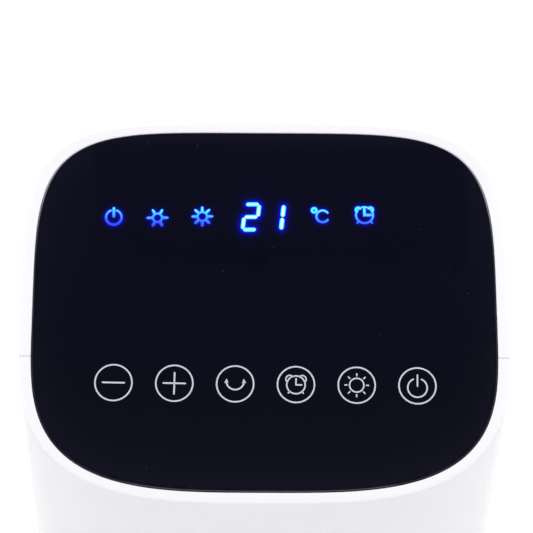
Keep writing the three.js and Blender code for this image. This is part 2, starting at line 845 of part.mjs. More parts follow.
function makeSwivelPlate() {
  const floor = prism(inset(bodyOutline, wall + seatGap), towerBottom, swivelPlateTop);
  const along = pinionDirection + Math.PI / 2;
  const stands = [-1, 1].map((side) => {
    const x = pinionX + side * swivelEarReach * Math.cos(along);
    const y = pinionY + side * swivelEarReach * Math.sin(along);
    return drum(x, y, swivelStandRadius, towerBottom, swivelMotorBottom - seatGap, smallSides);
  });
  const guideY = powerFrontY + boardThickness / 2;
  const guides = [-1, 1].map((side) => {
    const inner = side * (powerHalfWidth - guideOverlap);
    const outer = inner + side * guideWidth;
    return box(Math.min(inner, outer), Math.max(inner, outer), guideY - guideDepth / 2,
      guideY + guideDepth / 2, towerBottom, swivelPlateTop + guideHeight);
  });
  const boardSlot = box(
    -powerHalfWidth - seatGap, powerHalfWidth + seatGap, powerFrontY - seatGap,
    powerFrontY + boardThickness + seatGap, swivelPlateTop, far);
  return cut(join(floor, stands, guides), drum(0, 0, postRadius + runningGap, 0, far), boardSlot);
}
piece('swivel_plate', makeSwivelPlate(), darkPlastic(), tower);

// Tip-over switch

const collarBottom = basePlateTop + tipTravel + seatGap;
const collarTop = collarBottom + tipCollarHeight;
const springBottom = collarTop + seatGap;
const springTop = springBottom + tipSpringHeight;
const tipBoreTop = springTop + seatGap;

piece('tip_plunger', join(
  drum(0, -tipPlace, tipPadRadius, 0, tipPadHeight),
  drum(0, -tipPlace, tipStemRadius, 0, collarTop, smallSides),
  drum(0, -tipPlace, tipCollarRadius, collarBottom, collarTop),
  drum(0, -tipPlace, tipPegRadius, 0, springTop - tipTravel / 2, smallSides),
), darkPlastic(), base);

function makeTipSwitch() {
  const house = box(
    -tipHouseHalfWidth, tipHouseHalfWidth, -tipPlace - tipHouseHalfDepth,
    -tipPlace + tipHouseHalfDepth, baseFloor, baseFloor + tipHouseHeight);
  return cut(house, drum(0, -tipPlace, tipCollarRadius + tipBoreClearance, 0, tipBoreTop));
}
piece('tip_switch', makeTipSwitch(), creamPlastic(), base);

class Coil extends THREE.Curve {
  getPoint(share) {
    const angle = 2 * Math.PI * tipSpringTurns * share;
    const rise = tipSpringHeight - 2 * tipSpringWireRadius;
    const z = springBottom + tipSpringWireRadius + rise * share;
    const x = tipSpringRadius * Math.cos(angle);
    return new THREE.Vector3(x, -tipPlace + tipSpringRadius * Math.sin(angle), z);
  }
}
piece('tip_spring',
  tube(new Coil(), tipSpringWireRadius, springStepsPerTurn * tipSpringTurns), steel(), base);

// Wiring

const curveThrough = (points) =>
  new THREE.CatmullRomCurve3(points.map((p) => new THREE.Vector3(...p)), false, 'centripetal');

const leadStart = baseRadius - inletTubeLength - 2 * seatGap;
const baseLeadRoute = curveThrough([
  [0, leadStart, inletHeight],
  [0, leadStart - leadRise, inletHeight],
  [0, weightOuterRadius + leadRise / 4, leadHeight],
  [0, weightInnerRadius, leadHeight],
  [0, postBoreRadius, leadHeight],
  [0, postBoreRadius / 3, leadHeight + innerLeadRadius],
  [0, 0, leadHeight + postSlotHeight],
  [0, 0, postTop - leadRise],
  [0, 0, postTop],
]);
piece('mains_lead_base', tube(baseLeadRoute, innerLeadRadius, leadSteps), blackPlastic(), base);

const boardBackY = powerFrontY + boardThickness;
const leadTurnZ = postTop + leadRise;
const towerLeadRoute = curveThrough([
  [0, 0, postTop + seatGap],
  [0, 0, postTop + leadRise / 2],
  [0, -leadRise / 2, leadTurnZ],
  [0, boardBackY + 2 * leadRise, leadTurnZ + innerLeadRadius],
  [0, boardBackY + leadRise, leadTurnZ + innerLeadRadius],
  [0, boardBackY + seatGap, leadTurnZ + innerLeadRadius],
]);
piece('mains_lead_tower', tube(towerLeadRoute, innerLeadRadius, leadSteps / 2), blackPlastic(), tower);

// Casing

// An outline's rib ring just under or over a deck.
function deckRib(z0) {
  const z1 = z0 + ribThickness;
  const outer = prism(inset(bodyOutline, wall / 2), z0, z1);
  return cut(outer, prism(inset(bodyOutline, wall + ribDepth), z0 - overrun, z1 + overrun));
}

const shellScrewPlaces = [shellScrewLowZ, shellScrewHighZ].flatMap((z) =>
  [-shellScrewX, shellScrewX].map((x) => [x, z]));

function makeCasing() {
  const edge = rimFillet * (1 - Math.SQRT1_2);
  const drop = edge * Math.cos(slant);
  const outer = loft([
    level(bodyOutline, towerBottom),
    slanted(bodyOutline, -rimFillet * Math.cos(slant)),
    slanted(inset(bodyOutline, edge), -drop),
    slanted(inset(bodyOutline, rimFillet), 0),
  ]);
  const inner = uprightTo(inset(bodyOutline, wall), towerBottom - overrun, ledgeBottomW);
  const recess = slantedSlab(inset(panelOutline, -seatGap), ledgeTopW, overrun);
  const ledgeHole = slantedSlab(
    inset(panelOutline, ledgeWidth), ledgeBottomW - overrun, ledgeTopW + overrun);
  const hollow = cut(outer, inner, recess, ledgeHole);
  const ribs = [
    deckRib(swivelPlateTop + seatGap),
    deckRib(lowerDeckBottom - seatGap - ribThickness),
    deckRib(upperDeckBottom - seatGap - ribThickness),
  ];
  return join(hollow, ribs);
}
const casing = makeCasing();

const parting = partingGap / 2;
const skinBlock = prism(inset(bodyOutline, wall / 2), 0, far);
const frontHalf = box(-far, far, -far, partingY - parting, 0, far);
const rearHalf = box(-far, far, partingY + parting, far, 0, far);

// How far back the outside of the tower lies at a given x.
function backAt(x) {
  const rest = 1 - (Math.abs(x) / bodyHalfWidth) ** backSquareness;
  return sectionY + bodyBackDepth * rest ** (1 / backSquareness);
}

// The tab under the tray that takes one of its screws, with its post.
function trayTab(side) {
  const x = side * trayScrewX;
  const innerY = sectionY + trayScrewV * Math.cos(slant) + tabReach;
  const outline = [
    new THREE.Vector2(x - tabHalfWidth, -far / 2),
    new THREE.Vector2(x + tabHalfWidth, -far / 2),
    new THREE.Vector2(x + tabHalfWidth, innerY),
    new THREE.Vector2(x - tabHalfWidth, innerY),
  ];
  const post = topDrum(
    x, trayScrewV, tabPostRadius, ledgeBottomW - tabPostHeight, ledgeTopW - ledgeThickness / 2,
    smallSides);
  const inside = uprightTo(inset(bodyOutline, wall / 2), towerBottom, overrun);
  return keep(join(slantedSlab(outline, ledgeBottomW, ledgeTopW), post), inside);
}

function makeFrontShell() {
  let shell = cut(keep(casing, frontHalf), windowThrough(outlet, 0, front));
  shell = join(shell, seatFor(outlet, front, grilleBackDepth), trayTab(-1), trayTab(1));
  for (const side of [-1, 1]) {
    shell = cut(shell, topDrum(
      side * trayScrewX, trayScrewV, screwHole, -far / 2, ledgeTopW + overrun, smallSides));
  }
  const posts = shellScrewPlaces.map(([x, z]) =>
    keep(rod(x, z, shellPostRadius, frontY, partingY - parting), skinBlock));
  const holes = shellScrewPlaces.map(([x, z]) =>
    rod(x, z, screwHole, partingY - shellPilotDepth, partingY + overrun));
  return cut(join(shell, posts), holes);
}
piece('front_shell', makeFrontShell(), whiteGloss(), tower);

function makeRearShell() {
  const gripHole = windowThrough(grip, gripWall + seatGap, rear);
  let shell = cut(keep(casing, rearHalf), windowThrough(intake, 0, rear), gripHole);
  shell = join(shell, seatFor(intake, rear, coverThickness));
  const tubes = shellScrewPlaces.map(([x, z]) =>
    keep(rod(x, z, shellPostRadius, partingY + parting, backY), skinBlock));
  const holes = shellScrewPlaces.map(([x, z]) => rod(x, z, screwHole, partingY, backY + overrun));
  const bores = shellScrewPlaces.map(([x, z]) =>
    rod(x, z, headHole, shellCounterboreEnd, backY + overrun));
  const switchHole = box(
    switchX - switchHalfWidth - seatGap, switchX + switchHalfWidth + seatGap, 0, far,
    switchZ - switchHalfHeight - seatGap, switchZ + switchHalfHeight + seatGap);
  return cut(join(shell, tubes), holes, bores, switchHole);
}
piece('rear_shell', makeRearShell(), whiteGloss(), tower);

const shellScrew = screwShape(shellScrewLength);
shellScrewPlaces.forEach(([x, z], i) => {
  const screw = piece(`shell_screw_${i + 1}`, shellScrew, steel(), tower);
  screw.position.set(x, shellCounterboreEnd + seatGap, z);
  screw.rotation.x = -Math.PI / 2;
});

// Outlet grille: upright louvres tied by bars behind them

function makeGrille() {
  const z0 = outletBottom - overrun;
  const z1 = outletTop + overrun;
  const field = windowThrough(outlet, -seatGap, front);
  const block = keep(skin(grilleSetback, grilleBackDepth, z0, z1), field);
  const reach = outletHalfWidth - grilleBorder;
  const pitch = (2 * reach + louvreThickness) / (louvreCount + 1);
  const slots = Array.from({ length: louvreCount + 1 }, (_, i) => {
    const x = -reach + i * pitch;
    return box(x, x + pitch - louvreThickness, -far, 0,
      outletBottom + grilleBorder, outletTop - grilleBorder);
  });
  const openHeight = outletTop - outletBottom - 2 * grilleBorder;
  const backLayer = skin(grilleBackDepth - grilleBarDepth, grilleBackDepth, z0, z1);
  const bars = Array.from({ length: grilleBarCount }, (_, i) => {
    const z = outletBottom + grilleBorder + (openHeight * (i + 1)) / (grilleBarCount + 1);
    return keep(backLayer, box(-reach - grilleBorder / 2, reach + grilleBorder / 2, -far, 0,
      z - grilleBarHeight / 2, z + grilleBarHeight / 2));
  });
  return join(cut(block, slots), bars);
}
piece('front_grille', makeGrille(), darkPlastic(), tower);

// Intake cover with its dust filter

function makeIntakeCover() {
  const z0 = intakeBottom - overrun;
  const z1 = intakeTop + overrun;
  const plate = keep(skin(0, coverThickness, z0, z1), windowThrough(intake, -seatGap, rear));
  const fieldHalf = intakeHalfWidth - coverBorder;
  const fieldLow = intakeBottom + coverBorder;
  const fieldHigh = intakeTop - coverBorder;
  const opening = box(-fieldHalf, fieldHalf, 0, far, fieldLow, fieldHigh);
  const fieldY = backY - coverFieldInset;
  let field = box(
    -fieldHalf - overrun, fieldHalf + overrun, fieldY - coverFieldThickness, fieldY,
    fieldLow - overrun, fieldHigh + overrun);
  const rows = Math.floor((fieldHigh - fieldLow - intakeSlotHeight) / intakeSlotPitch);
  const spare = fieldHigh - fieldLow - rows * intakeSlotPitch - intakeSlotHeight;
  for (let row = 0; row <= rows; row += 1) {
    const low = fieldLow + spare / 2 + row * intakeSlotPitch;
    for (const side of [-1, 1]) {
      const near = side * intakeSpineHalfWidth;
      const wide = side * (fieldHalf - overrun / 2);
      field = cut(field, box(Math.min(near, wide), Math.max(near, wide), 0, far, low,
        low + intakeSlotHeight));
    }
  }
  return join(cut(plate, opening), field);
}
piece('intake_cover', makeIntakeCover(), whiteGloss(), tower);

const filterBackY = backAt(intakeHalfWidth) - coverThickness - seatGap;
const filterLayer = box(-far, far, filterBackY - filterThickness, filterBackY, 0, far);
piece('dust_filter',
  keep(filterLayer, windowThrough(intake, -lipWidth - 2 * seatGap, rear)), meshGrey(), tower);

// Finger grip: a cup set into the rear shell

function makeGripCup() {
  const bottomY = backY - gripDepth - gripWall;
  const z0 = gripBottom - gripFlangeWidth - 2 * gripWall;
  const z1 = gripTop + gripFlangeWidth + 2 * gripWall;
  const within = prism(bodyOutline, z0, z1);
  const behind = box(-far, far, bottomY, far, z0, z1);
  const cup = keep(keep(windowThrough(grip, gripWall, rear), behind), within);
  const flangeStart = wall + seatGap;
  const flange = keep(
    skin(flangeStart, flangeStart + gripFlangeThickness, z0, z1),
    windowThrough(grip, gripWall + gripFlangeWidth, rear));
  const mouth = keep(windowThrough(grip, 0, rear), box(-far, far, bottomY + gripWall, far, 0, far));
  return cut(join(cup, flange), mouth);
}
piece('handle_pocket', makeGripCup(), darkPlastic(), tower);

// Touch panel, tray and boards under it

piece('control_panel', slantedSlab(panelOutline, -panelThickness, 0), blackGloss(), tower);

const displayPillars = [displayX0 + pillarInset, displayX1 - pillarInset].flatMap((x) =>
  [displayV0 + pillarInset, displayV1 - pillarInset].map((v) => [x, v]));
const displayFaceW = trayTopW - moduleThickness - seatGap;
const displayBackW = displayFaceW - boardThickness;

function makeTray() {
  const block = slantedSlab(panelOutline, trayBottomW, trayTopW);
  const inside = slantedSlab(inset(panelOutline, trayWall), trayFloorW, overrun);
  const anchor = trayFloorW - trayFloor / 2;
  const pillars = displayPillars.map(([x, v]) =>
    topDrum(x, v, pillarRadius, anchor, displayBackW - seatGap, smallSides));
  const ribs = [-1, 1].map((side) => {
    const v = touchV + side * (touchHalfHeight - 2 * ribHalfThickness);
    return topBox(-touchHalfLength / 2, touchHalfLength / 2, v - ribHalfThickness,
      v + ribHalfThickness, anchor, trayTopW - touchThickness - touchPadHeight - 2 * seatGap);
  });
  const bosses = [-1, 1].map((side) =>
    topDrum(side * trayScrewX, trayScrewV, trayBossRadius, anchor, trayTopW, smallSides));
  const bores = [-1, 1].flatMap((side) => [
    topDrum(side * trayScrewX, trayScrewV, trayBossBoreRadius, trayFloorW, overrun, smallSides),
    topDrum(side * trayScrewX, trayScrewV, screwHole, -far / 2, overrun, smallSides),
  ]);
  const cableHole = topDrum(
    -trayCableX, trayCableV, deckCableHoleRadius, trayBottomW - overrun, trayFloorW + overrun,
    smallSides);
  return cut(join(cut(block, inside), pillars, ribs, bosses), bores, cableHole);
}
piece('panel_tray', makeTray(), blackPlastic(), tower);

piece('display_board',
  box(displayX0, displayX1, displayV0, displayV1, displayBackW, displayFaceW),
  circuitGreen(), panelGroup);
piece('display_module', box(
  moduleX - moduleHalfLength + seatGap, moduleX + moduleHalfLength, moduleV - moduleHalfHeight,
  moduleV + moduleHalfHeight, displayFaceW + seatGap, trayTopW), creamPlastic(), panelGroup);
piece('ir_receiver', box(
  receiverX - receiverHalfWidth, receiverX + receiverHalfWidth, receiverV - receiverHalfHeight,
  receiverV + receiverHalfHeight, displayFaceW + seatGap,
  displayFaceW + seatGap + receiverThickness), blackPlastic(), panelGroup);

function makeTouchBoard() {
  const faceW = trayTopW - touchPadHeight;
  const strip = box(
    -touchHalfLength, touchHalfLength, touchV - touchHalfHeight, touchV + touchHalfHeight,
    faceW - touchThickness, faceW);
  const pads = Array.from({ length: touchCount }, (_, i) => {
    const x = (i - (touchCount - 1) / 2) * touchPitch;
    return drum(x, touchV, touchPadRadius, faceW - touchThickness / 2, trayTopW, smallSides);
  });
  const notches = [-1, 1].map((side) =>
    drum(side * trayScrewX, trayScrewV, trayBossRadius + seatGap, -far, far, smallSides));
  return cut(join(strip, pads), notches);
}
piece('touch_board', makeTouchBoard(), circuitGreen(), panelGroup);

const trayScrew = screwShape(trayScrewLength);
[-1, 1].forEach((side, i) => {
  const screw = piece(`tray_screw_${i + 1}`, trayScrew, steel(), panelGroup);
  screw.position.set(side * trayScrewX, trayScrewV, trayFloorW + seatGap);
});

// Decks

const deckHole = (z0, z1) =>
  drum(-deckCableX, -deckCableY, deckCableHoleRadius, z0, z1, smallSides);

function makeDeck(bottom, shaftHoleRadius) {
  const top = bottom + deckThickness;
  const plate = prism(inset(bodyOutline, wall + seatGap), bottom, top);
  const shaftHole = drum(fanX, fanY, shaftHoleRadius, bottom - overrun, top + overrun);
  return cut(plate, shaftHole, deckHole(bottom - overrun, top + overrun));
}
piece('lower_deck', makeDeck(lowerDeckBottom, deckShaftHoleRadius), darkPlastic(), tower);
piece('upper_deck', makeDeck(upperDeckBottom, deckShaftHoleRadius), darkPlastic(), tower);

// Fan

const fanBottom = lowerDeckTop + fanEndClearance;
const fanTop = upperDeckBottom - fanEndClearance;
const fanMotorTop = lowerDeckBottom - seatGap;
const fanMotorBottom = fanMotorTop - fanMotorHeight;
const shaftBottom = fanMotorTop - fanShaftInMotor;
const shaftTop = upperDeckTop + fanShaftAboveDeck;

// A forward-curved blade: two arcs between the inner and the outer radius.
function bladeOutline(turn) {
  const sweep = THREE.MathUtils.degToRad(bladeSweepDegrees);
  const rootTurn = THREE.MathUtils.degToRad(bladeRootTurnDegrees);
  const tipRadius = fanRadius - bladeThickness / 2;
  const spine = bladeSpineShares.map((share) => {
    const radius = fanInnerRadius + (tipRadius - fanInnerRadius) * share;
    const bulge = Math.sin(Math.PI * share) * rootTurn * (1 - share / 2) / 2;
    const angle = turn + sweep * share ** 2 - bulge / 2;
    return new THREE.Vector2(radius * Math.cos(angle), radius * Math.sin(angle));
  });
  const sideways = spine.map((point, i) => {
    const after = spine[Math.min(i + 1, spine.length - 1)];
    const before = spine[Math.max(i - 1, 0)];
    const along = after.clone().sub(before).normalize();
    return new THREE.Vector2(-along.y, along.x).multiplyScalar(bladeThickness / 2);
  });
  const left = spine.map((point, i) => point.clone().add(sideways[i]));
  const right = spine.map((point, i) => point.clone().sub(sideways[i])).reverse();
  return [...right, ...left];
}

function makeFanWheel() {
  const height = fanTop - fanBottom;
  const blades = Array.from({ length: bladeCount }, (_, i) =>
    prism(bladeOutline((2 * Math.PI * i) / bladeCount), fanDiscThickness / 2,
      height - fanDiscThickness / 2));
  const discs = Array.from({ length: fanSections + 1 }, (_, i) => {
    const low = ((height - fanDiscThickness) * i) / fanSections;
    return drum(0, 0, fanRadius, low, low + fanDiscThickness, roundSides);
  });
  const hollow = (i) => {
    const low = ((height - fanDiscThickness) * i) / fanSections;
    const inner = fanInnerRadius - 2 * bladeThickness;
    return drum(0, 0, inner, low - overrun, low + fanDiscThickness + overrun, roundSides);
  };
  const middleHoles = Array.from({ length: fanSections - 1 }, (_, i) => hollow(i + 1));
  const bore = drum(0, 0, fanShaftRadius + seatGap, -overrun, far, smallSides);
  return cut(join(cut(join(discs), middleHoles), blades), bore);
}
const fanWheel = piece('fan_wheel', makeFanWheel(), blackPlastic(), tower);
fanWheel.position.set(fanX, fanY, fanBottom);

piece('fan_shaft',
  drum(fanX, fanY, fanShaftRadius, shaftBottom, shaftTop, smallSides), steel(), tower);

function makeFanMotor() {
  const can = drum(fanX, fanY, fanMotorRadius, fanMotorBottom, fanMotorTop);
  const boss = drum(
    fanX, fanY, fanMotorBossRadius, fanMotorBottom - fanMotorBossHeight, fanMotorTop);
  const bore = drum(
    fanX, fanY, fanShaftRadius + runningGap, shaftBottom - seatGap, far, smallSides);
  return cut(join(can, boss), bore);
}
piece('fan_motor', makeFanMotor(), steel(), tower);

function makeBush() {
  const flangeBottom = upperDeckTop + seatGap;
  const sleeve = drum(fanX, fanY, deckShaftHoleRadius - seatGap, upperDeckBottom, flangeBottom);
  const flange = drum(
    fanX, fanY, bushFlangeRadius, flangeBottom, flangeBottom + bushFlangeThickness);
  const bore = drum(fanX, fanY, fanShaftRadius + runningGap, 0, far, smallSides);
  return cut(join(sleeve, flange), bore);
}
piece('fan_bearing', makeBush(), creamPlastic(), tower);

// Air guides beside the fan

const ductLow = lowerDeckTop + seatGap;
const ductHigh = upperDeckBottom - seatGap;
const fanPoint = (radius, angle) =>
  new THREE.Vector2(fanX + radius * Math.cos(angle), fanY + radius * Math.sin(angle));

function makeScroll() {
  const start = THREE.MathUtils.degToRad(ductStartDegrees);
  const end = THREE.MathUtils.degToRad(ductEndDegrees);
  const startRadius = fanRadius + ductClearance;
  const steps = 2 * cornerSteps;
  const side = (thickness) => Array.from({ length: steps + 1 }, (_, i) => {
    const share = i / steps;
    const radius = startRadius + (ductEndRadius - startRadius) * share + thickness;
    return fanPoint(radius, start + (end - start) * share);
  });
  const footY = frameBackY + seatGap;
  const inner = [...side(0), new THREE.Vector2(frameHalfWidth - ductThickness, footY)];
  const outer = [...side(ductThickness), new THREE.Vector2(frameHalfWidth, footY)];
  return prism([...inner, ...outer.reverse()], ductLow, ductHigh);
}
piece('scroll_duct', makeScroll(), darkPlastic(), tower);

function makeTongue() {
  const angle = THREE.MathUtils.degToRad(tongueDegrees);
  const head = fanPoint(fanRadius + ductClearance + tongueRadius, angle);
  const footY = frameBackY + seatGap;
  const wallOutline = [
    new THREE.Vector2(-frameHalfWidth, footY),
    new THREE.Vector2(-frameHalfWidth + ductThickness, footY),
    new THREE.Vector2(head.x + ductThickness / 2, head.y),
    new THREE.Vector2(head.x - ductThickness / 2, head.y),
  ];
  return join(
    drum(head.x, head.y, tongueRadius, ductLow, ductHigh, smallSides),
    prism(wallOutline, ductLow, ductHigh));
}
piece('duct_tongue', makeTongue(), darkPlastic(), tower);

// Ceramic element

function makeHeaterFrame() {
  const block = box(-frameHalfWidth, frameHalfWidth, frameFrontY, frameBackY, ductLow, ductHigh);
  const wide = coreHalfWidth + seatGap;
  const narrow = coreHalfWidth - coreLip;
  const seat = box(-wide, wide, coreFrontY - seatGap, 0, coreBottom - seatGap, coreTop + seatGap);
  const mouth = box(-narrow, narrow, -far, 0, coreBottom + coreLip, coreTop - coreLip);
  return cut(block, seat, mouth);
}
piece('heater_frame', makeHeaterFrame(), creamPlastic(), tower);

function makeHeaterCore() {
  const block = box(-coreHalfWidth, coreHalfWidth, coreFrontY, coreBackY, coreBottom, coreTop);
  const columnWidth = (2 * coreHalfWidth - (finColumns + 1) * ceramicBarWidth) / finColumns;
  const rows = Math.floor((coreTop - coreBottom - finThickness) / finPitch);
  const slots = [];
  for (let column = 0; column < finColumns; column += 1) {
    const x = -coreHalfWidth + ceramicBarWidth + column * (columnWidth + ceramicBarWidth);
    for (let row = 0; row < rows; row += 1) {
      const z = coreBottom + finThickness + row * finPitch;
      slots.push(box(x, x + columnWidth, -far, 0, z, z + finPitch - finThickness));
    }
  }
  return cut(block, slots);
}
piece('heater_core', makeHeaterCore(), aluminium(), tower);

const cutoutZ = (coreTop + ductHigh) / 2;
piece('thermal_cutout', rod(
  0, cutoutZ, cutoutRadius, frameFrontY - seatGap - cutoutDepth, frameFrontY - seatGap,
  roundSides), steel(), tower);

// Mains electronics

const powerBottom = swivelPlateTop + powerBottomClearance;
piece('power_board', box(
  -powerHalfWidth, powerHalfWidth, powerFrontY, boardBackY, powerBottom,
  powerBottom + powerHeight), circuitGreen(), tower);

const partY = boardBackY + seatGap;
[0, 1].forEach((i) => {
  const x = relayX - i * relaySpacing;
  piece(`relay_${i + 1}`, box(
    x - relayWidth / 2, x + relayWidth / 2, partY, partY + relayDepth,
    relayZ - relayHeight / 2, relayZ + relayHeight / 2), bluePlastic(), tower);
});
piece('filter_capacitor', rod(
  capacitorX, capacitorZ, capacitorRadius, partY, partY + capacitorDepth, roundSides),
blackPlastic(), tower);

const topPoint = (x, v, w) => new THREE.Vector3(x, v, w)
  .applyAxisAngle(new THREE.Vector3(1, 0, 0), slant)
  .add(new THREE.Vector3(0, sectionY, rimPlaneZ)).toArray();
const cableRoute = curveThrough([
  [-powerHalfWidth + guideWidth, partY, powerBottom + powerHeight - leadRise],
  [-powerHalfWidth + guideWidth, partY + leadRise / 2, powerBottom + powerHeight - leadRise],
  [-powerHalfWidth + guideWidth / 2, partY + leadRise, powerBottom + powerHeight - leadRise],
  [-deckCableX, -deckCableY, lowerDeckBottom - leadRise / 2],
  [-deckCableX, -deckCableY, lowerDeckTop + leadRise],
  [-deckCableX, -deckCableY, (lowerDeckTop + upperDeckBottom) / 2],
  [-deckCableX, -deckCableY, upperDeckBottom - leadRise],
  [-deckCableX, -deckCableY, upperDeckTop + leadRise / 2],
  [-deckCableX + leadRise / 2, 0, upperDeckTop + 2 * leadRise],
  topPoint(-trayCableX, trayCableV, displayBackW - leadRise - leadRise / 2),
  topPoint(-trayCableX, trayCableV, displayBackW - leadRise / 2),
  topPoint(-trayCableX, trayCableV, displayBackW - seatGap),
]);
piece('display_cable', tube(cableRoute, innerLeadRadius, cableSteps), greyPlastic(), tower);

// Mains switch with its rocker

const switchFaceY = backAt(0) + seatGap;
const bezelOuterY = switchFaceY + switchBezelThickness;

function makeSwitchBody() {
  const bodyBox = box(
    switchX - switchHalfWidth, switchX + switchHalfWidth, bezelOuterY - switchBodyDepth,
    bezelOuterY, switchZ - switchHalfHeight, switchZ + switchHalfHeight);
  const wide = switchHalfWidth + switchBezel;
  const high = switchHalfHeight + switchBezel;
  const bezel = box(
    switchX - wide, switchX + wide, switchFaceY, bezelOuterY, switchZ - high, switchZ + high);
  const wellWide = rockerHalfWidth + runningGap;
  const wellHigh = rockerHalfHeight + 2 * runningGap;
  const well = box(
    switchX - wellWide, switchX + wellWide, bezelOuterY - rockerWellDepth, far,
    switchZ - wellHigh, switchZ + wellHigh);
  return cut(join(bodyBox, bezel), well);
}
piece('switch_body', makeSwitchBody(), blackPlastic(), tower);

// The rocker is drawn about its pivot, in (height, depth) with depth towards the back.
function makeRocker() {
  const crown = rockerPivotDepth + rockerProud;
  const outline = [
    new THREE.Vector2(-rockerHalfHeight, 0),
    new THREE.Vector2(-rockerHalfHeight / 2, -rockerSkirt),
    new THREE.Vector2(rockerHalfHeight / 2, -rockerSkirt),
    new THREE.Vector2(rockerHalfHeight, 0),
    new THREE.Vector2(rockerHalfHeight - rockerDish / 2, crown),
    new THREE.Vector2(0, crown - rockerDish),
    new THREE.Vector2(-rockerHalfHeight + rockerDish / 2, crown),
  ];
  const shape = new THREE.Shape(outline);
  const body = new THREE.ExtrudeGeometry(shape, { depth: 2 * rockerHalfWidth, bevelEnabled: false });
  body.translate(0, 0, -rockerHalfWidth);
  return solid(body.rotateY(-Math.PI / 2));
}
const rocker = piece('switch_rocker', makeRocker(), blackPlastic(), tower);
rocker.position.set(switchX, bezelOuterY - rockerPivotDepth, switchZ);
rocker.rotation.x = THREE.MathUtils.degToRad(rockerTiltDegrees);

export default heater;
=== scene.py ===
"""A white tower heater with a slanted black touch panel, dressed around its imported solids.

Lengths are in millimetres in the heater's frame, and mesh_from() turns them into metres. The
front looks towards -y. On the slanted top, x and v are measured in its plane, with v up the
slope from the tower's widest line, and w is the height above the panel's face.
"""

import json
import math
from functools import lru_cache

import bmesh
import bpy
import numpy as np
from mathutils import Matrix, Vector
from mathutils.geometry import delaunay_2d_cdt


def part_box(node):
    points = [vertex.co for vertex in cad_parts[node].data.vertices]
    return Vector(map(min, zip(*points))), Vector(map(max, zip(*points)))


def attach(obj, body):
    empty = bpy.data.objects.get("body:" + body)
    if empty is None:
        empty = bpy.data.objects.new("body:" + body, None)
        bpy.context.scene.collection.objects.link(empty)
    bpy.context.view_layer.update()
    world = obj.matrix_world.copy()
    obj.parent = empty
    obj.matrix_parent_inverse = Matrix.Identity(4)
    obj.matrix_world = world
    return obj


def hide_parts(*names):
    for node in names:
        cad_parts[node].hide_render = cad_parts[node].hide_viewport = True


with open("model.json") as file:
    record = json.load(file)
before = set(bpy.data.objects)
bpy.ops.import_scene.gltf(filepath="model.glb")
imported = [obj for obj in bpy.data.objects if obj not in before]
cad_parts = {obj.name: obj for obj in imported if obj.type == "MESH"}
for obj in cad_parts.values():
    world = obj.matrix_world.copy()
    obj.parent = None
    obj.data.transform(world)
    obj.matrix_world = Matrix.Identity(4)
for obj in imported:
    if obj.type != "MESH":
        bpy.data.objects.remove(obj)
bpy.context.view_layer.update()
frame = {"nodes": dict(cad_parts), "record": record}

MM = 0.001


def cad_box(node):
    """A CAD node's lowest and highest corner, in millimetres."""
    return [np.array(corner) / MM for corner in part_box(node)]


def middle(node):
    low, high = cad_box(node)
    return (low + high) / 2


# Tower
SLANT = math.radians(22)
PARTING = 0.3
SEAT_GAP = 0.3
WALL = 2.5
RIM_FILLET = 1.0
RIM_EDGE = 0.5
RIM_SWELL, RIM_SWELL_HALF, RIM_SWELL_START = 1.0, 45.0, 0.9
BOTTOM_FILLET = 0.8
LIP_FILLET = 0.35
BODY_POWERS = (4.7, 3.2)
front_low, front_high = cad_box("front_shell")
rear_low, rear_high = cad_box("rear_shell")
PARTING_Y = (front_high[1] + rear_low[1]) / 2
SECTION_Y = -6.7
BACK_Y = rear_high[1]
FRONT_Y = front_low[1]
TOWER_BOTTOM = rear_low[2]
TOP = rear_high[2]
RIM_Z = TOP - (BACK_Y - SECTION_Y - RIM_FILLET) * math.tan(SLANT)

# Panel
PANEL_SHIFT = 1.0
PANEL_POWERS = (4.8, 3.4)
PANEL_REACH = 0.2
PANEL_THICKNESS = 2.2
PANEL_EDGE = 0.2
PANEL_CHAMFER = 0.2
CORNER_CHAMFER, CORNER_MIDDLE, CORNER_SPAN = 0.25, 50.0, 18.0
LEDGE_TOP = -15.3
LEDGE_THICKNESS = 2.5
LEDGE_WIDTH = 3.5
panel_low, panel_high = cad_box("control_panel")

# Fineness of the meshes
OUTLINE_POINTS = 2880
HALF_STEPS = 150
WALL_LEVELS = 20
FILLET_STEPS, SMALL_FILLET_STEPS = 5, 3
CORNER_STEPS, EDGE_STEPS, SIDE_STEPS = 8, 28, 4
BASE_STEPS, DISC_STEPS, ROD_STEPS, SCREW_STEPS = 128, 96, 48, 24
SMALLEST_CORNER = 0.02
ARC_STEP = 8
SMOOTH_ANGLE, PANEL_ANGLE, CARVED_ANGLE = 35, 25, 30
SAME_POINT = 0.0001 * MM
FRONT, REAR = -1, 1


# Meshes

def smoothed(mesh, angle):
    """Joins equal corners, turns the faces outwards and shades them smooth up to an angle."""
    tidy = bmesh.new()
    tidy.from_mesh(mesh)
    bmesh.ops.remove_doubles(tidy, verts=tidy.verts, dist=SAME_POINT)
    bmesh.ops.recalc_face_normals(tidy, faces=tidy.faces)
    if tidy.calc_volume(signed=True) < 0:
        bmesh.ops.reverse_faces(tidy, faces=tidy.faces)
    tidy.to_mesh(mesh)
    tidy.free()
    mesh.shade_smooth()
    mesh.set_sharp_from_angle(angle=math.radians(angle))


def mesh_from(points, faces, attributes=None, angle=SMOOTH_ANGLE):
    """A mesh from points in millimetres."""
    mesh = bpy.data.meshes.new("mesh")
    mesh.from_pydata((np.asarray(points, float) * MM).tolist(), [], faces)
    for title, values in (attributes or {}).items():
        mesh.attributes.new(title, "FLOAT", "POINT").data.foreach_set("value", values)
    smoothed(mesh, angle)
    return mesh


def linked(name, data):
    thing = bpy.data.objects.new(name, data)
    bpy.context.scene.collection.objects.link(thing)
    return thing


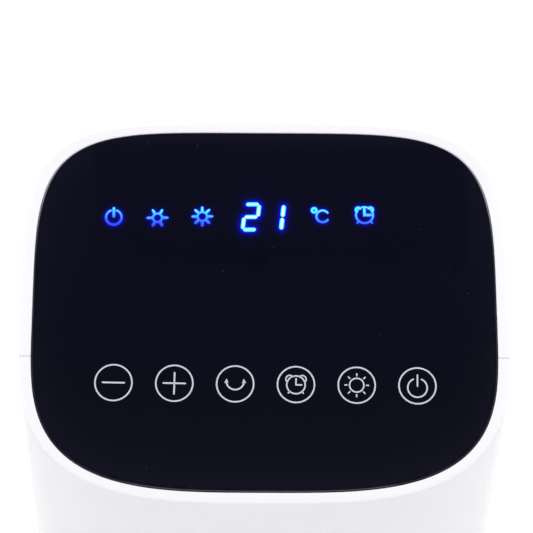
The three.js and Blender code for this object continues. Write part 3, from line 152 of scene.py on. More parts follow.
def made(name, shape, body, slot, replaces=(), paint=None, cuts=(), attributes=None,
         angle=SMOOTH_ANGLE):
    """A mesh piece that rides on a body, in the place of CAD nodes."""
    piece = linked(name, mesh_from(*shape, attributes, angle))
    if cuts:
        carve(piece, cuts)
    piece.data.materials.append(paint or PAINTS[slot])
    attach(piece, body)
    if replaces:
        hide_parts(*replaces)


def skin(rows, wrap_rows=False, wrap_columns=True):
    """Points and faces of a grid of points, with its open ends closed by flat faces."""
    rows = np.asarray(rows, float)
    index = np.arange(rows.shape[0] * rows.shape[1]).reshape(rows.shape[:2])
    grid = np.vstack([index, index[:1]]) if wrap_rows else index
    grid = np.hstack([grid, grid[:, :1]]) if wrap_columns else grid
    corners = [grid[:-1, :-1], grid[:-1, 1:], grid[1:, 1:], grid[1:, :-1]]
    faces = np.stack(corners, -1).reshape(-1, 4).tolist()
    if not wrap_rows:
        faces += index[[0, -1]].tolist()
    if not wrap_columns:
        faces += index[:, [0, -1]].T.tolist()
    return rows.reshape(-1, 3), faces


def joined(parts):
    """Several (points, faces) as one."""
    points, faces, count = [], [], 0
    for part_points, part_faces in parts:
        points.append(part_points)
        faces += [[i + count for i in face] for face in part_faces]
        count += len(part_points)
    return np.vstack(points), faces


def carve(piece, cuts):
    """Cuts closed shapes out of a piece."""
    for shape in cuts:
        tool = linked("tool", mesh_from(*shape))
        step = piece.modifiers.new("carve", "BOOLEAN")
        step.operation = "DIFFERENCE"
        step.solver = "EXACT"
        step.object = tool
        graph = bpy.context.evaluated_depsgraph_get()
        result = bpy.data.meshes.new_from_object(piece.evaluated_get(graph))
        piece.modifiers.clear()
        piece.data = result
        bpy.data.objects.remove(tool)
    piece.data.set_sharp_from_angle(angle=math.radians(CARVED_ANGLE))


# Outlines

def unit(steps):
    """The same directions with a length of one."""
    return steps / np.linalg.norm(steps, axis=-1, keepdims=True)


def rotation(turn):
    """What points, written as rows, are multiplied by to turn them counter-clockwise."""
    return np.array([[math.cos(turn), math.sin(turn)], [-math.sin(turn), math.cos(turn)]])


def outline(half_width, front_y, centre_y, back_y, powers):
    """A rounded rectangle seen from above, counter-clockwise from its +x end.

    The higher its power is behind or before centre_y, the squarer its corners are there.
    """
    turn = np.linspace(0, 2 * np.pi, OUTLINE_POINTS, endpoint=False)
    cosine, sine = np.cos(turn), np.sin(turn)
    power = np.where(sine >= 0, *powers)
    depth = np.where(sine >= 0, back_y - centre_y, centre_y - front_y)
    reach = (abs(cosine / half_width) ** power + abs(sine / depth) ** power) ** (-1 / power)
    return np.stack([reach * cosine, centre_y + reach * sine], 1)


def grown(points, distance):
    """A closed counter-clockwise outline moved outwards by a distance."""
    along = np.roll(points, -1, 0) - np.roll(points, 1, 0)
    return points + distance * unit(np.stack([along[:, 1], -along[:, 0]], 1))


def spaced(line, count):
    """The same line through evenly spaced points."""
    run = np.concatenate([[0], np.cumsum(np.linalg.norm(np.diff(line, axis=0), axis=1))])
    places = np.linspace(0, run[-1], count)
    return np.stack([np.interp(places, run, values) for values in line.T], 1)


def half(points, side):
    """The part of an outline before or behind the parting line."""
    cut = PARTING_Y + side * PARTING / 2
    inside = side * (points[:, 1] - cut) > 0
    start = np.flatnonzero(inside & ~np.roll(inside, 1))[0]
    points, kept = np.roll(points, -start, 0), int(inside.sum())

    def crossing(a, b):
        return a + (b - a) * (cut - a[1]) / (b[1] - a[1])

    first, last = crossing(points[-1], points[0]), crossing(points[kept - 1], points[kept])
    return spaced(np.vstack([first, points[:kept], last]), HALF_STEPS)


def level(points, z):
    """Points given as (x, y), in the level plane at z."""
    return np.column_stack([points, np.full(len(points), z)])


def upright(points, y):
    """Points given as (x, z), in the upright plane at y."""
    return np.column_stack([points[:, 0], np.broadcast_to(y, len(points)), points[:, 1]])


def slanted(points, w):
    """Points given as (x, y), lifted onto the slant at a height w over the panel's face."""
    plane = RIM_Z + (points[:, 1] - SECTION_Y) * math.tan(SLANT)
    return np.column_stack([points, np.minimum(plane, TOP) + w / math.cos(SLANT)])


def on_top(x, v, w):
    """Points given in the panel's own plane."""
    x, v, w = np.broadcast_arrays(x, v, w)
    y = SECTION_Y + v * math.cos(SLANT) - w * math.sin(SLANT)
    return np.stack([x, y, RIM_Z + v * math.sin(SLANT) + w * math.cos(SLANT)], -1)


def in_plane(points):
    """The x and v of points given as (x, y)."""
    return np.stack([points[:, 0], (points[:, 1] - SECTION_Y) / math.cos(SLANT)], 1)


BODY = outline(rear_high[0], FRONT_Y, SECTION_Y, BACK_Y, BODY_POWERS)
PANEL_SEAT, PANEL = (
    outline(panel_high[0], panel_low[1], SECTION_Y + PANEL_SHIFT, panel_high[1] + reach, PANEL_POWERS)
    for reach in (0, PANEL_REACH))


@lru_cache(None)
def wall_line(depth, side):
    """The x and y of the front or rear wall, at a depth under its surface."""
    points = grown(BODY, -depth)
    points = points[side * (points[:, 1] - SECTION_Y) > 0]
    return points[np.argsort(points[:, 0])].T


def on_wall(side):
    """A map from (x, z) and a depth under the front or rear wall to the frame."""
    def at(points, depth):
        depth = np.broadcast_to(depth, len(points))
        y = np.zeros(len(points))
        for one in set(depth.tolist()):
            y = np.where(depth == one, np.interp(points[:, 0], *wall_line(one, side)), y)
        return upright(points, y)
    return at


def arc(radius, start, end, centre=(0, 0), count=None):
    """Points on a circle between two angles in degrees."""
    count = count or max(3, int(abs(end - start) / ARC_STEP) + 1)
    turn = np.radians(np.linspace(start, end, count))
    return np.stack([centre[0] + radius * np.cos(turn), centre[1] + radius * np.sin(turn)], 1)


def circle(radius, centre=(0, 0), steps=64):
    return arc(radius, 0, 360, centre, steps + 1)[:-1]


def turned(profile, centre=(0, 0), steps=ROD_STEPS, at=level):
    """Rings around an axis, for each (radius, place on the axis) of a profile."""
    return [at(circle(radius, centre, steps), place) for radius, place in profile]


def around(low, high, gap, corner):
    """An opening: the x and z of a box grown by a gap, and the radius of its corners."""
    return low[0] - gap, high[0] + gap, low[2] - gap, high[2] + gap, corner


def rounded(x0, x1, z0, z1, corner, growth=0.0):
    """A rounded rectangle grown by a distance, always with the same number of points."""
    corner = max(corner + growth, SMALLEST_CORNER)
    inset = corner - growth
    centres = [(x1 - inset, z0 + inset), (x1 - inset, z1 - inset), (x0 + inset, z1 - inset),
               (x0 + inset, z0 + inset)]
    arcs = [arc(corner, 90 * i - 90, 90 * i, centre, CORNER_STEPS)
            for i, centre in enumerate(centres)]
    points = []
    for i, bend in enumerate(arcs):
        steps = EDGE_STEPS if i % 2 else SIDE_STEPS
        points += [bend, np.linspace(bend[-1], arcs[(i + 1) % 4][0], steps)[1:-1]]
    return np.vstack(points)


def rings(opening, profile, at=upright):
    """Rings around an opening, for each (growth, depth) of a profile."""
    return [at(rounded(*opening, growth=growth), depth) for growth, depth in profile]


def fillet(radius, growth=0.0, depth=0.0, out=-1, down=1, start=0, end=90, steps=FILLET_STEPS):
    """(growth, depth) round an edge, from the face on its out side to the wall on its down side."""
    angles = np.radians(np.linspace(start, end, steps))
    return [(growth + out * radius * (1 - math.sin(a)), depth + down * radius * (1 - math.cos(a)))
            for a in angles]


def fillets(radius, low, high, growth=0.0, steps=FILLET_STEPS):
    """The rounded edges at both ends of a wall."""
    return (fillet(radius, growth, low, steps=steps)
            + fillet(radius, growth, high, down=-1, steps=steps)[::-1])


# Materials

class Paint:
    """A material's nodes. Sizes of its patterns are in millimetres of the heater's frame."""

    def __init__(self, name, colour, roughness, metallic=0.0, specular=0.5, coat=0.0):
        self.material = bpy.data.materials.new(name)
        self.material.use_nodes = True
        self.tree = self.material.node_tree
        self.shader = self.tree.nodes["Principled BSDF"]
        self.colour = colour
        self.set("Base Color", colour)
        self.set("Roughness", roughness)
        self.set("Metallic", metallic)
        self.set("Specular IOR Level", specular)
        self.set("Coat Weight", coat)
        self.where = self.add("ShaderNodeTexCoord").outputs["Object"]
        self.relief = None

    def link(self, value, socket):
        """Feeds a socket from another one, or with a number, a vector or a colour."""
        if isinstance(value, bpy.types.NodeSocket):
            self.tree.links.new(value, socket)
        else:
            socket.default_value = (*value, 1) if socket.type == "RGBA" else value

    def set(self, socket, value):
        self.link(value, self.shader.inputs[socket])

    def add(self, kind, inputs=None, **settings):
        node = self.tree.nodes.new(kind)
        for title, value in settings.items():
            setattr(node, title, value)
        for socket, value in (inputs or {}).items():
            self.link(value, node.inputs[socket])
        return node

    def noise(self, size, detail=2.0, stretch=None):
        where = self.where
        if stretch:
            mapping = self.add("ShaderNodeMapping", {"Scale": stretch, "Vector": where})
            where = mapping.outputs["Vector"]
        inputs = {"Scale": 1 / (size * MM), "Detail": detail, "Vector": where}
        return self.add("ShaderNodeTexNoise", inputs).outputs["Fac"]

    def cells(self, size, feature="F1"):
        inputs = {"Scale": 1 / (size * MM), "Vector": self.where}
        return self.add("ShaderNodeTexVoronoi", inputs, feature=feature).outputs

    def attribute(self, name):
        return self.add("ShaderNodeAttribute", attribute_name=name).outputs["Fac"]

    def ranged(self, value, low, high, to_low=0.0, to_high=1.0):
        inputs = {"Value": value, "From Min": low, "From Max": high, "To Min": to_low,
                  "To Max": to_high}
        return self.add("ShaderNodeMapRange", inputs).outputs["Result"]

    def math(self, operation, one, two=0.0):
        return self.add("ShaderNodeMath", {0: one, 1: two}, operation=operation).outputs[0]

    def mix(self, share, one, two):
        inputs = {0: share, 6: one, 7: two}
        return self.add("ShaderNodeMix", inputs, data_type="RGBA").outputs[2]

    def along(self, toward):
        """How far a point lies from the middle of the panel's plane, in millimetres."""
        inputs = {0: self.where, 1: Vector(toward) / MM}
        far = self.add("ShaderNodeVectorMath", inputs, operation="DOT_PRODUCT").outputs["Value"]
        return self.math("SUBTRACT", far, SECTION_Y * toward[1] + RIM_Z * toward[2])

    def panel_height(self):
        return self.along((0, math.cos(SLANT), math.sin(SLANT)))

    def bump(self, height, depth, strength):
        """Adds a relief of a depth in millimetres."""
        inputs = {"Strength": strength, "Distance": depth * MM, "Height": height}
        if self.relief is not None:
            inputs["Normal"] = self.relief
        self.relief = self.add("ShaderNodeBump", inputs).outputs["Normal"]
        self.set("Normal", self.relief)

    def vary_colour(self, value, low, high, other):
        self.set("Base Color", self.mix(self.ranged(value, low, high), self.colour, other))

    def vary_roughness(self, value, low, high):
        self.set("Roughness", self.ranged(value, 0.3, 0.7, low, high))

    def shine(self, colour, strength):
        self.set("Emission Color", colour)
        self.set("Emission Strength", strength)


def shade(colour, factor):
    return tuple(part * factor for part in colour)


def moulded(name, colour, roughness, grain=0.35, relief=0.02, specular=0.5):
    """Plain moulded plastic: fine spark grain, and slow changes in its gloss and colour."""
    paint = Paint(name, colour, roughness, specular=specular)
    paint.vary_colour(paint.noise(30.0, 3.0), 0.35, 0.65, shade(colour, 0.9))
    paint.vary_roughness(paint.noise(9.0, 3.0), roughness - 0.05, roughness + 0.07)
    paint.bump(paint.noise(grain), relief, 0.5)
    return paint.material


def white_gloss_with_painted_shade():
    """Glossy housing plastic, a little greyer in slow clouds, and with painted shade high up the
    slant.
    """
    paint = Paint("housing white with painted shade", (0.86, 0.846, 0.878), 0.2, specular=0.25)
    cloud = paint.math("MULTIPLY", paint.noise(70.0, 3.0), 0.6)
    # Painted shade: the colour turns greyer from 45 to 75 mm up the slant, towards the back of the
    # top.
    rear = paint.ranged(paint.panel_height(), 45.0, 75.0, 0.0, 0.55)
    paint.vary_colour(paint.math("ADD", cloud, rear), 0.2, 0.8, (0.82, 0.806, 0.84))
    paint.vary_roughness(paint.noise(14.0, 4.0), 0.16, 0.25)
    paint.bump(paint.noise(5.0), 0.012, 0.35)
    paint.bump(paint.noise(0.5, 1.0), 0.002, 0.3)
    return paint.material


def drawn_steel():
    """Steel with upright streaks."""
    paint = Paint("steel", (0.55, 0.56, 0.58), 0.3, metallic=1.0)
    streaks = paint.noise(1.2, 4.0, (1, 1, 0.08))
    paint.vary_colour(streaks, 0.3, 0.7, shade(paint.colour, 0.78))
    paint.vary_roughness(streaks, 0.22, 0.42)
    paint.bump(streaks, 0.01, 0.4)
    return paint.material


def circuit_board():
    """Green lacquer over raised tracks."""
    paint = Paint("circuit green", (0.013, 0.11, 0.05), 0.35, coat=0.3)
    gap = paint.cells(3.2, "DISTANCE_TO_EDGE")["Distance"]
    tracks = paint.ranged(gap, 0.03, 0.08, 1.0, 0.0)
    paint.vary_colour(tracks, 0.4, 0.6, (0.03, 0.2, 0.09))
    paint.vary_roughness(paint.noise(2.0, 3.0), 0.28, 0.42)
    paint.bump(tracks, 0.05, 0.6)
    return paint.material


def filter_gauze():
    """Threads that cross in both directions."""
    paint = Paint("filter mesh", (0.16, 0.165, 0.17), 0.85)
    inputs = {"Scale": 1 / (3.0 * MM), "Distortion": 0.4, "Vector": paint.where}
    across, up = (paint.add("ShaderNodeTexWave", inputs, bands_direction=axis).outputs["Fac"]
                  for axis in ("X", "Z"))
    weave = paint.math("MAXIMUM", across, up)
    paint.vary_colour(weave, 0.4, 0.9, shade(paint.colour, 0.25))
    paint.bump(weave, 0.3, 0.9)
    return paint.material


def heating_fins():
    """Aluminium with a brown tint from heat."""
    paint = Paint("aluminium", (0.62, 0.63, 0.65), 0.34, metallic=1.0)
    paint.vary_colour(paint.noise(16.0, 3.0), 0.35, 0.7, (0.5, 0.47, 0.42))
    paint.vary_roughness(paint.noise(3.0, 3.0), 0.28, 0.46)
    paint.bump(paint.noise(0.8, 2.0, (1, 4, 1)), 0.02, 0.4)
    return paint.material


PAINTS = {
    "housing_white": white_gloss_with_painted_shade(),
    "black_plastic": moulded("black plastic", (0.014, 0.015, 0.017), 0.42),
    "dark_plastic": moulded("dark plastic", (0.03, 0.031, 0.034), 0.45, grain=0.4, relief=0.03),
    "grey_plastic": moulded("grey plastic", (0.33, 0.335, 0.345), 0.45),
    "cream_plastic": moulded("cream plastic", (0.72, 0.69, 0.6), 0.42),
    "rubber_black": moulded("rubber", (0.02, 0.02, 0.021), 0.78, 0.25, 0.05, specular=0.3),
    "relay_blue": moulded("relay blue", (0.03, 0.12, 0.38), 0.36),
    "cable_black": moulded("cable black", (0.016, 0.016, 0.018), 0.5, grain=0.6),
    "cable_grey": moulded("cable grey", (0.3, 0.31, 0.33), 0.5, grain=0.6),
    "steel": drawn_steel(),
    "aluminium": heating_fins(),
    "board_green": circuit_board(),
    "filter_mesh": filter_gauze(),
}
PAINTS["panel_black"] = PAINTS["black_plastic"]
for part in frame["record"]["subparts"]:
    for place in frame["nodes"][part["node"]].material_slots:
        place.material = PAINTS[part["material_slot"]]


# Casing

def swollen(points, share=1.0):
    """The rim's slight outward swell behind the middle of the panel."""
    points = points.copy()
    crown = np.clip(1 - (points[:, 0] / RIM_SWELL_HALF) ** 2, 0, None) ** 2
    points[:, 1] += np.where(points[:, 1] > SECTION_Y, RIM_SWELL * share * crown, 0)
    return points


def casing(side):
    """One half of the tower's casing: wall, rim and the ledge under the panel."""
    def body(growth):
        return half(grown(BODY, growth), side)

    def seat(growth):
        return half(grown(PANEL_SEAT, growth), side)

    fall = -math.cos(SLANT)
    rows = [level(body(growth), z) for growth, z in fillet(BOTTOM_FILLET, depth=TOWER_BOTTOM)]
    low, high = rows[-1], slanted(body(0), RIM_EDGE * fall)
    for share in np.linspace(0, 1, WALL_LEVELS)[1:]:
        bend = max(0, share - RIM_SWELL_START) / (1 - RIM_SWELL_START)
        rows.append(swollen(low + (high - low) * share, bend ** 2))
    rim = fillet(RIM_EDGE, down=fall, start=90, end=0)[1:]
    rows += [slanted(swollen(body(growth)), w) for growth, w in rim]
    under = LEDGE_TOP - LEDGE_THICKNESS
    ledge = [(SEAT_GAP, LEDGE_TOP), (-LEDGE_WIDTH, LEDGE_TOP), (-LEDGE_WIDTH, under)]
    rows += [slanted(seat(growth), w)
             for growth, w in fillet(LIP_FILLET, SEAT_GAP, out=1, down=fall) + ledge]
    rows += [slanted(body(-WALL), under), level(body(-WALL), TOWER_BOTTOM)]
    return skin(rows, wrap_rows=True, wrap_columns=False)


HOLE_START = 15
HOLE_REACH = 14.0


def hole_through(opening, edge, side):
    """A shape that cuts an opening with a rounded outer edge through a wall."""
    profile = fillet(edge, out=1, start=HOLE_START)
    growth, depth = profile[0]
    flare = (growth + 2 * edge, depth - 2 * edge / math.tan(math.radians(90 - HOLE_START)))
    face = BACK_Y if side == REAR else FRONT_Y
    rows = rings(opening, [(flare[0], face + side * HOLE_REACH)])
    rows += rings(opening, [flare, *profile], on_wall(side))
    return skin(rows + rings(opening, [(0, face - side * HOLE_REACH)]))


outlet_low, outlet_high = cad_box("front_grille")
intake_low, intake_high = cad_box("intake_cover")
switch_low, switch_high = cad_box("switch_body")
OUTLET_CORNER, OUTLET_EDGE = 14.0, 1.0
INTAKE_CORNER, INTAKE_EDGE = 12.0, 0.5
GRIP_CORNER, GRIP_EDGE = 7.0, 0.4
GRIP_WALL = 2.0
GRIP_FLANGE = 5.0
GRIP_GAP = GRIP_WALL + SEAT_GAP
GRIP = around(*np.round(cad_box("handle_pocket"), 2), -GRIP_WALL - GRIP_FLANGE, GRIP_CORNER)
GRIP_HOLE = (GRIP[0] - GRIP_GAP, GRIP[1] + GRIP_GAP, GRIP[2] - GRIP_GAP, GRIP[3] + GRIP_GAP,
             GRIP_CORNER + GRIP_GAP)
BEZEL = 1.6
SWITCH_HOLE_CORNER, SWITCH_HOLE_EDGE = 0.5, 0.2
SCREW_BORE, SCREW_BORE_EDGE = 3.3, 0.4
SHELL_SCREWS = [f"shell_screw_{i}" for i in range(1, 5)]

outlet = around(outlet_low, outlet_high, SEAT_GAP, OUTLET_CORNER)
made("housing_front", casing(FRONT), "tower", "housing_white", ["front_shell"],
     cuts=[hole_through(outlet, OUTLET_EDGE, FRONT)])
rear_holes = [
    (around(intake_low, intake_high, SEAT_GAP, INTAKE_CORNER), INTAKE_EDGE),
    (GRIP_HOLE, GRIP_EDGE),
    (around(switch_low, switch_high, SEAT_GAP - BEZEL, SWITCH_HOLE_CORNER), SWITCH_HOLE_EDGE)]
for place in map(middle, SHELL_SCREWS):
    rear_holes.append((around(place, place, SCREW_BORE, SCREW_BORE), SCREW_BORE_EDGE))
made("housing_rear", casing(REAR), "tower", "housing_white", ["rear_shell"],
     cuts=[hole_through(opening, edge, REAR) for opening, edge in rear_holes])


# The strip inside the joint of the two halves, so that the joint shows as a shallow groove

LIP_SETBACK = 0.35
LIP_HALF_DEPTH = 0.32
LIP_THICKNESS = 1.4


def seam_lip(side):
    outer = abs(half(BODY, REAR)[0, 0]) - LIP_SETBACK
    inner = outer - LIP_THICKNESS
    seat = abs(half(grown(PANEL_SEAT, SEAT_GAP), REAR)[0, 0]) + LIP_SETBACK
    low = TOWER_BOTTOM + LIP_SETBACK
    v = (PARTING_Y - SECTION_Y) / math.cos(SLANT)
    top, ledge = (on_top(0, v, w)[2] for w in (-LIP_SETBACK, LEDGE_TOP + LIP_SETBACK))
    profile = np.array([(inner, low), (outer, low), (outer, top), (seat, top), (seat, ledge),
                        (inner, ledge)]) * [side, 1]
    return skin([upright(profile, PARTING_Y + y) for y in (-LIP_HALF_DEPTH, LIP_HALF_DEPTH)])


made("seam_lip", joined([seam_lip(-1), seam_lip(1)]), "tower", "housing_white")


# Grilles

def ring_frame(opening, front, back, border, outer_edge, inner_edge, at):
    """A frame that lies in an opening and follows the wall."""
    profile = fillet(outer_edge, depth=front) + [(0, back), (-border, back)]
    profile += fillet(inner_edge, -border, front, out=1)[::-1]
    return skin(rings(opening, profile, at), wrap_rows=True)


def bar(across, half_width, near, far, edge, places, at, lies=False):
    """A bar with rounded outer edges that stands, or lies, at some place across it."""
    right = fillet(edge, half_width, near)
    left = [(-x, depth) for x, depth in right[::-1]]
    section = np.array(left + right + [(half_width, far), (-half_width, far)])
    rows = []
    for place in places:
        points = np.column_stack([across + section[:, 0], np.full(len(section), place)])
        rows.append(at(points[:, ::-1] if lies else points, section[:, 1]))
    return skin(rows)


# Warm-air outlet

GRILLE_SETBACK = 1.2
GRILLE_BACK = GRILLE_SETBACK + 8.0
GRILLE_BORDER = 4.5
GRILLE_EDGE, GRILLE_MOUTH_EDGE = 0.5, 1.0
LOUVRES = 12
LOUVRE_THICKNESS, LOUVRE_EDGE = 1.6, 0.7
LOUVRE_BACK = GRILLE_BACK - 0.2
TIE_BARS = 3
TIE_BAR_HEIGHT, TIE_BAR_DEPTH, TIE_BAR_EDGE = 3.0, 3.0, 0.6
TIE_BAR_STEPS = 24
BAR_OVERLAP = 1.0


def grille():
    at = on_wall(FRONT)
    reach = outlet_high[0] - GRILLE_BORDER
    low, high = outlet_low[2] + GRILLE_BORDER, outlet_high[2] - GRILLE_BORDER
    parts = [ring_frame(around(outlet_low, outlet_high, 0, OUTLET_CORNER), GRILLE_SETBACK,
                        GRILLE_BACK, GRILLE_BORDER, GRILLE_EDGE, GRILLE_MOUTH_EDGE, at)]
    pitch = (2 * reach + LOUVRE_THICKNESS) / (LOUVRES + 1)
    for i in range(1, LOUVRES + 1):
        parts.append(bar(
            -reach + i * pitch - LOUVRE_THICKNESS / 2, LOUVRE_THICKNESS / 2, GRILLE_SETBACK,
            LOUVRE_BACK, LOUVRE_EDGE, (low - BAR_OVERLAP, high + BAR_OVERLAP), at))
    for i in range(1, TIE_BARS + 1):
        places = np.linspace(-reach - BAR_OVERLAP, reach + BAR_OVERLAP, TIE_BAR_STEPS)
        parts.append(bar(
            low + (high - low) * i / (TIE_BARS + 1), TIE_BAR_HEIGHT / 2,
            GRILLE_BACK - TIE_BAR_DEPTH, GRILLE_BACK, TIE_BAR_EDGE, places, at, lies=True))
    return joined(parts)


made("outlet_grille", grille(), "tower", "dark_plastic", ["front_grille"])


# Air intake

COVER_THICKNESS, COVER_EDGE = 2.4, 0.8
COVER_BORDER = 7.0
FIELD_INSET, FIELD_THICKNESS = 0.9, 1.8
SLOT_PITCH, SLOT_HEIGHT = 11.0, 6.6
SLAT_EDGE = 0.7
SPINE_HALF, SPINE_EDGE = 2.5, 0.6
SPINE_PROUD = 0.05
SLAT_OVERLAP = 0.6


def cover():
    parts = [ring_frame(around(intake_low, intake_high, 0, INTAKE_CORNER), 0, COVER_THICKNESS,
                        COVER_BORDER, COVER_EDGE, COVER_EDGE, on_wall(REAR))]
    reach = intake_high[0] - COVER_BORDER + SLAT_OVERLAP
    low, high = intake_low[2] + COVER_BORDER, intake_high[2] - COVER_BORDER

    def field(points, depth):
        return upright(points, BACK_Y - FIELD_INSET - depth)

    rows = int((high - low - SLOT_HEIGHT) // SLOT_PITCH)
    first = low + (high - low - rows * SLOT_PITCH - SLOT_HEIGHT) / 2
    slat = (SLOT_PITCH - SLOT_HEIGHT) / 2
    for row in range(rows + 2):
        parts.append(bar(first + row * SLOT_PITCH - slat, slat, 0, FIELD_THICKNESS, SLAT_EDGE,
                         (-reach, reach), field, lies=True))
    parts.append(bar(0, SPINE_HALF, -SPINE_PROUD, FIELD_THICKNESS + SPINE_PROUD, SPINE_EDGE,
                     (low - SLAT_OVERLAP, high + SLAT_OVERLAP), field))
    return joined(parts)


made("intake_grille", cover(), "intake", "housing_white", ["intake_cover"])


# Finger grip

GRIP_DEPTH = 27.0
GRIP_FLANGE_THICKNESS = 2.0
GRIP_FLOOR_STEPS = 8
CUP_EDGE, GRIP_LIP_EDGE, GRIP_MOUTH_EDGE, GRIP_FLOOR_FILLET = 1.5, 0.3, 1.4, 4.0


def grip_cup():
    at = on_wall(REAR)
    floor = BACK_Y - GRIP_DEPTH
    wide = GRIP_WALL + GRIP_FLANGE
    behind = WALL + SEAT_GAP
    deep = behind + GRIP_FLANGE_THICKNESS
    outside = [(GRIP_WALL, deep), (wide, deep), (wide, behind), (GRIP_WALL, behind)]
    outside += fillet(GRIP_LIP_EDGE, GRIP_WALL)[::-1]
    rows = rings(GRIP, fillet(CUP_EDGE, GRIP_WALL, floor - GRIP_WALL))
    rows += rings(GRIP, outside + fillet(GRIP_MOUTH_EDGE, out=1), at)
    inside = fillet(GRIP_FLOOR_FILLET, depth=floor, steps=GRIP_FLOOR_STEPS)[::-1]
    return skin(rows + rings(GRIP, inside))


made("finger_grip", grip_cup(), "tower", "dark_plastic", ["handle_pocket"])


# Round base

base_low, base_high = cad_box("base_cover")
BASE_RADIUS = base_high[0]
BASE_FOOT, BASE_TOP = base_low[2], base_high[2]
BASE_SKIRT_TOP = 18.0
BASE_EDGE = 0.8
SHOULDER, SHOULDER_TURN = 7.0, 0.85
CROWN_RADIUS, CROWN_BULGE = 60.0, 0.12
CROWN_STEPS = 12
BASE_BORE, BASE_BORE_EDGE = 20.3, 0.6
INLET_HEIGHT = 12.2
INLET_TUBE, INLET_BORE = 5.8, 3.8
INLET_LIP_EDGE, INLET_MOUTH_EDGE = 1.0, 1.2
INLET_CUT = ((1, 3), (0, -0.4), (0, -12))
INLET_GROOVE = ((0, -2.0), (-0.4, -2.2), (-0.4, -2.8), (0, -3.0))
FOOT_EDGE, FOOT_HOLLOW = 0.8, 0.4
FOOT_HOLLOW_SHARES = (0.45, 0.52, 0.7)


def base_profile():
    shoulder = arc(SHOULDER, 0, 90 * SHOULDER_TURN, (BASE_RADIUS - SHOULDER, BASE_SKIRT_TOP),
                   CROWN_STEPS)
    edge_r, edge_z = shoulder[-1]
    outer = fillet(BASE_EDGE, BASE_RADIUS, BASE_FOOT) + shoulder.tolist()
    for share in np.linspace(0, 1, CROWN_STEPS)[1:]:
        rise = share + CROWN_BULGE * math.sin(math.pi * share) * share
        outer.append((edge_r + (CROWN_RADIUS - edge_r) * share,
                      edge_z + (BASE_TOP - edge_z) * rise))
    outer += fillet(BASE_BORE_EDGE, BASE_BORE, BASE_TOP, out=1, down=-1)
    inner = [(BASE_BORE, BASE_TOP - WALL), (CROWN_RADIUS, BASE_TOP - WALL),
             (edge_r - 1, edge_z - WALL), (BASE_RADIUS - WALL, BASE_SKIRT_TOP),
             (BASE_RADIUS - WALL, BASE_FOOT)]
    return [(r, min(z, BASE_TOP)) for r, z in outer + inner]


def about_inlet(profile):
    return turned(profile, (0, INLET_HEIGHT), at=upright)


inlet_cut = [(INLET_TUBE + SEAT_GAP + wider, BASE_RADIUS + further) for wider, further in INLET_CUT]
made("base_dish", skin(turned(base_profile(), steps=BASE_STEPS), wrap_rows=True), "base",
     "housing_white", ["base_cover"], cuts=[skin(about_inlet(inlet_cut))])


def grommet():
    start, end = (corner[1] for corner in cad_box("cord_grommet"))
    profile = fillet(INLET_LIP_EDGE, INLET_TUBE, end, down=-1)
    profile += [(INLET_TUBE + wider, end + further) for wider, further in INLET_GROOVE]
    profile += [(INLET_TUBE, start), (INLET_BORE, start)]
    profile += fillet(INLET_MOUTH_EDGE, INLET_BORE, end, out=1, down=-1)[::-1]
    return skin(about_inlet(profile), wrap_rows=True)


def foot(node):
    low, high = cad_box(node)
    radius = (high[0] - low[0]) / 2
    profile = [(radius * share, low[2] + rise)
               for share, rise in zip(FOOT_HOLLOW_SHARES, (FOOT_HOLLOW, 0, 0))]
    profile += fillet(FOOT_EDGE, radius, low[2]) + [(radius, high[2])]
    return skin(turned(profile, middle(node)[:2]))


made("cord_inlet", grommet(), "base", "rubber_black", ["cord_grommet"])
for i in range(1, 5):
    made(f"rubber_foot_{i}", foot(f"foot_{i}"), "base", "rubber_black", [f"foot_{i}"])


# Screws

HEAD_RADIUS, HEAD_HEIGHT, HEAD_POWER = 3.0, 1.7, 0.8
HEAD_TURNS = np.linspace(math.pi / 2 - 0.05, 0, 9)
NECK = ((2.9, 0), (1.2, 0), (1.2, -1.0))
THREAD_START, THREAD_PITCH, THREAD_FREE = -1.2, 1.0, 3.5
THREAD = ((1.17, 0), (1.485, -0.45), (1.17, -0.7))
POINT_START, POINT_RADIUS, POINT_LENGTH = 1.05, 0.1, 1.6
RECESS = ((1.7, 0.42, 1.0), (1.45, 0.36, -0.5), (0.5, 0.2, -1.3))
SQUARE_CORNERS = np.array([(1, 1), (-1, 1), (-1, -1), (1, -1)])


def screw_shape(length):
    """A pan-head screw with a cross recess, its head standing on z = 0 and its point down."""
    profile = [(HEAD_RADIUS * math.cos(a), HEAD_HEIGHT * math.sin(a) ** HEAD_POWER)
               for a in HEAD_TURNS]
    profile += NECK
    for k in range(int((length - THREAD_FREE) / THREAD_PITCH)):
        profile += [(r, THREAD_START - k * THREAD_PITCH + z) for r, z in THREAD]
    profile += [(POINT_START, POINT_LENGTH - length), (POINT_RADIUS, -length)]
    arms = [skin([level(SQUARE_CORNERS * [reach, width] @ rotation(turn), HEAD_HEIGHT + z)
                  for reach, width, z in RECESS]) for turn in (0, math.pi / 2)]
    pattern = linked("pattern", mesh_from(*skin(turned(profile, steps=SCREW_STEPS))))
    carve(pattern, arms)
    points = np.array([vertex.co for vertex in pattern.data.vertices]) / MM
    faces = [tuple(face.vertices) for face in pattern.data.polygons]
    bpy.data.objects.remove(pattern)
    return points, faces


def screws(nodes, name, body, pointing):
    """One screw in the place of each node. pointing is the way their points look."""
    axis = Vector(pointing).normalized()
    turn = np.array(Vector((0, 0, -1)).rotation_difference(axis).to_matrix())
    axis = np.array(axis)
    solids = [np.array([vertex.co / MM for vertex in frame["nodes"][node].data.vertices])
              for node in nodes]
    length = np.ptp(solids[0] @ axis) - HEAD_HEIGHT
    points, faces = screw_shape(length)
    for i, (node, solid) in enumerate(zip(nodes, solids), 1):
        centre = solid.mean(0)
        centre += axis * ((solid @ axis).max() - length - centre @ axis)
        made(f"{name}_{i}", (points @ turn.T + centre, faces), body, "steel", [node])


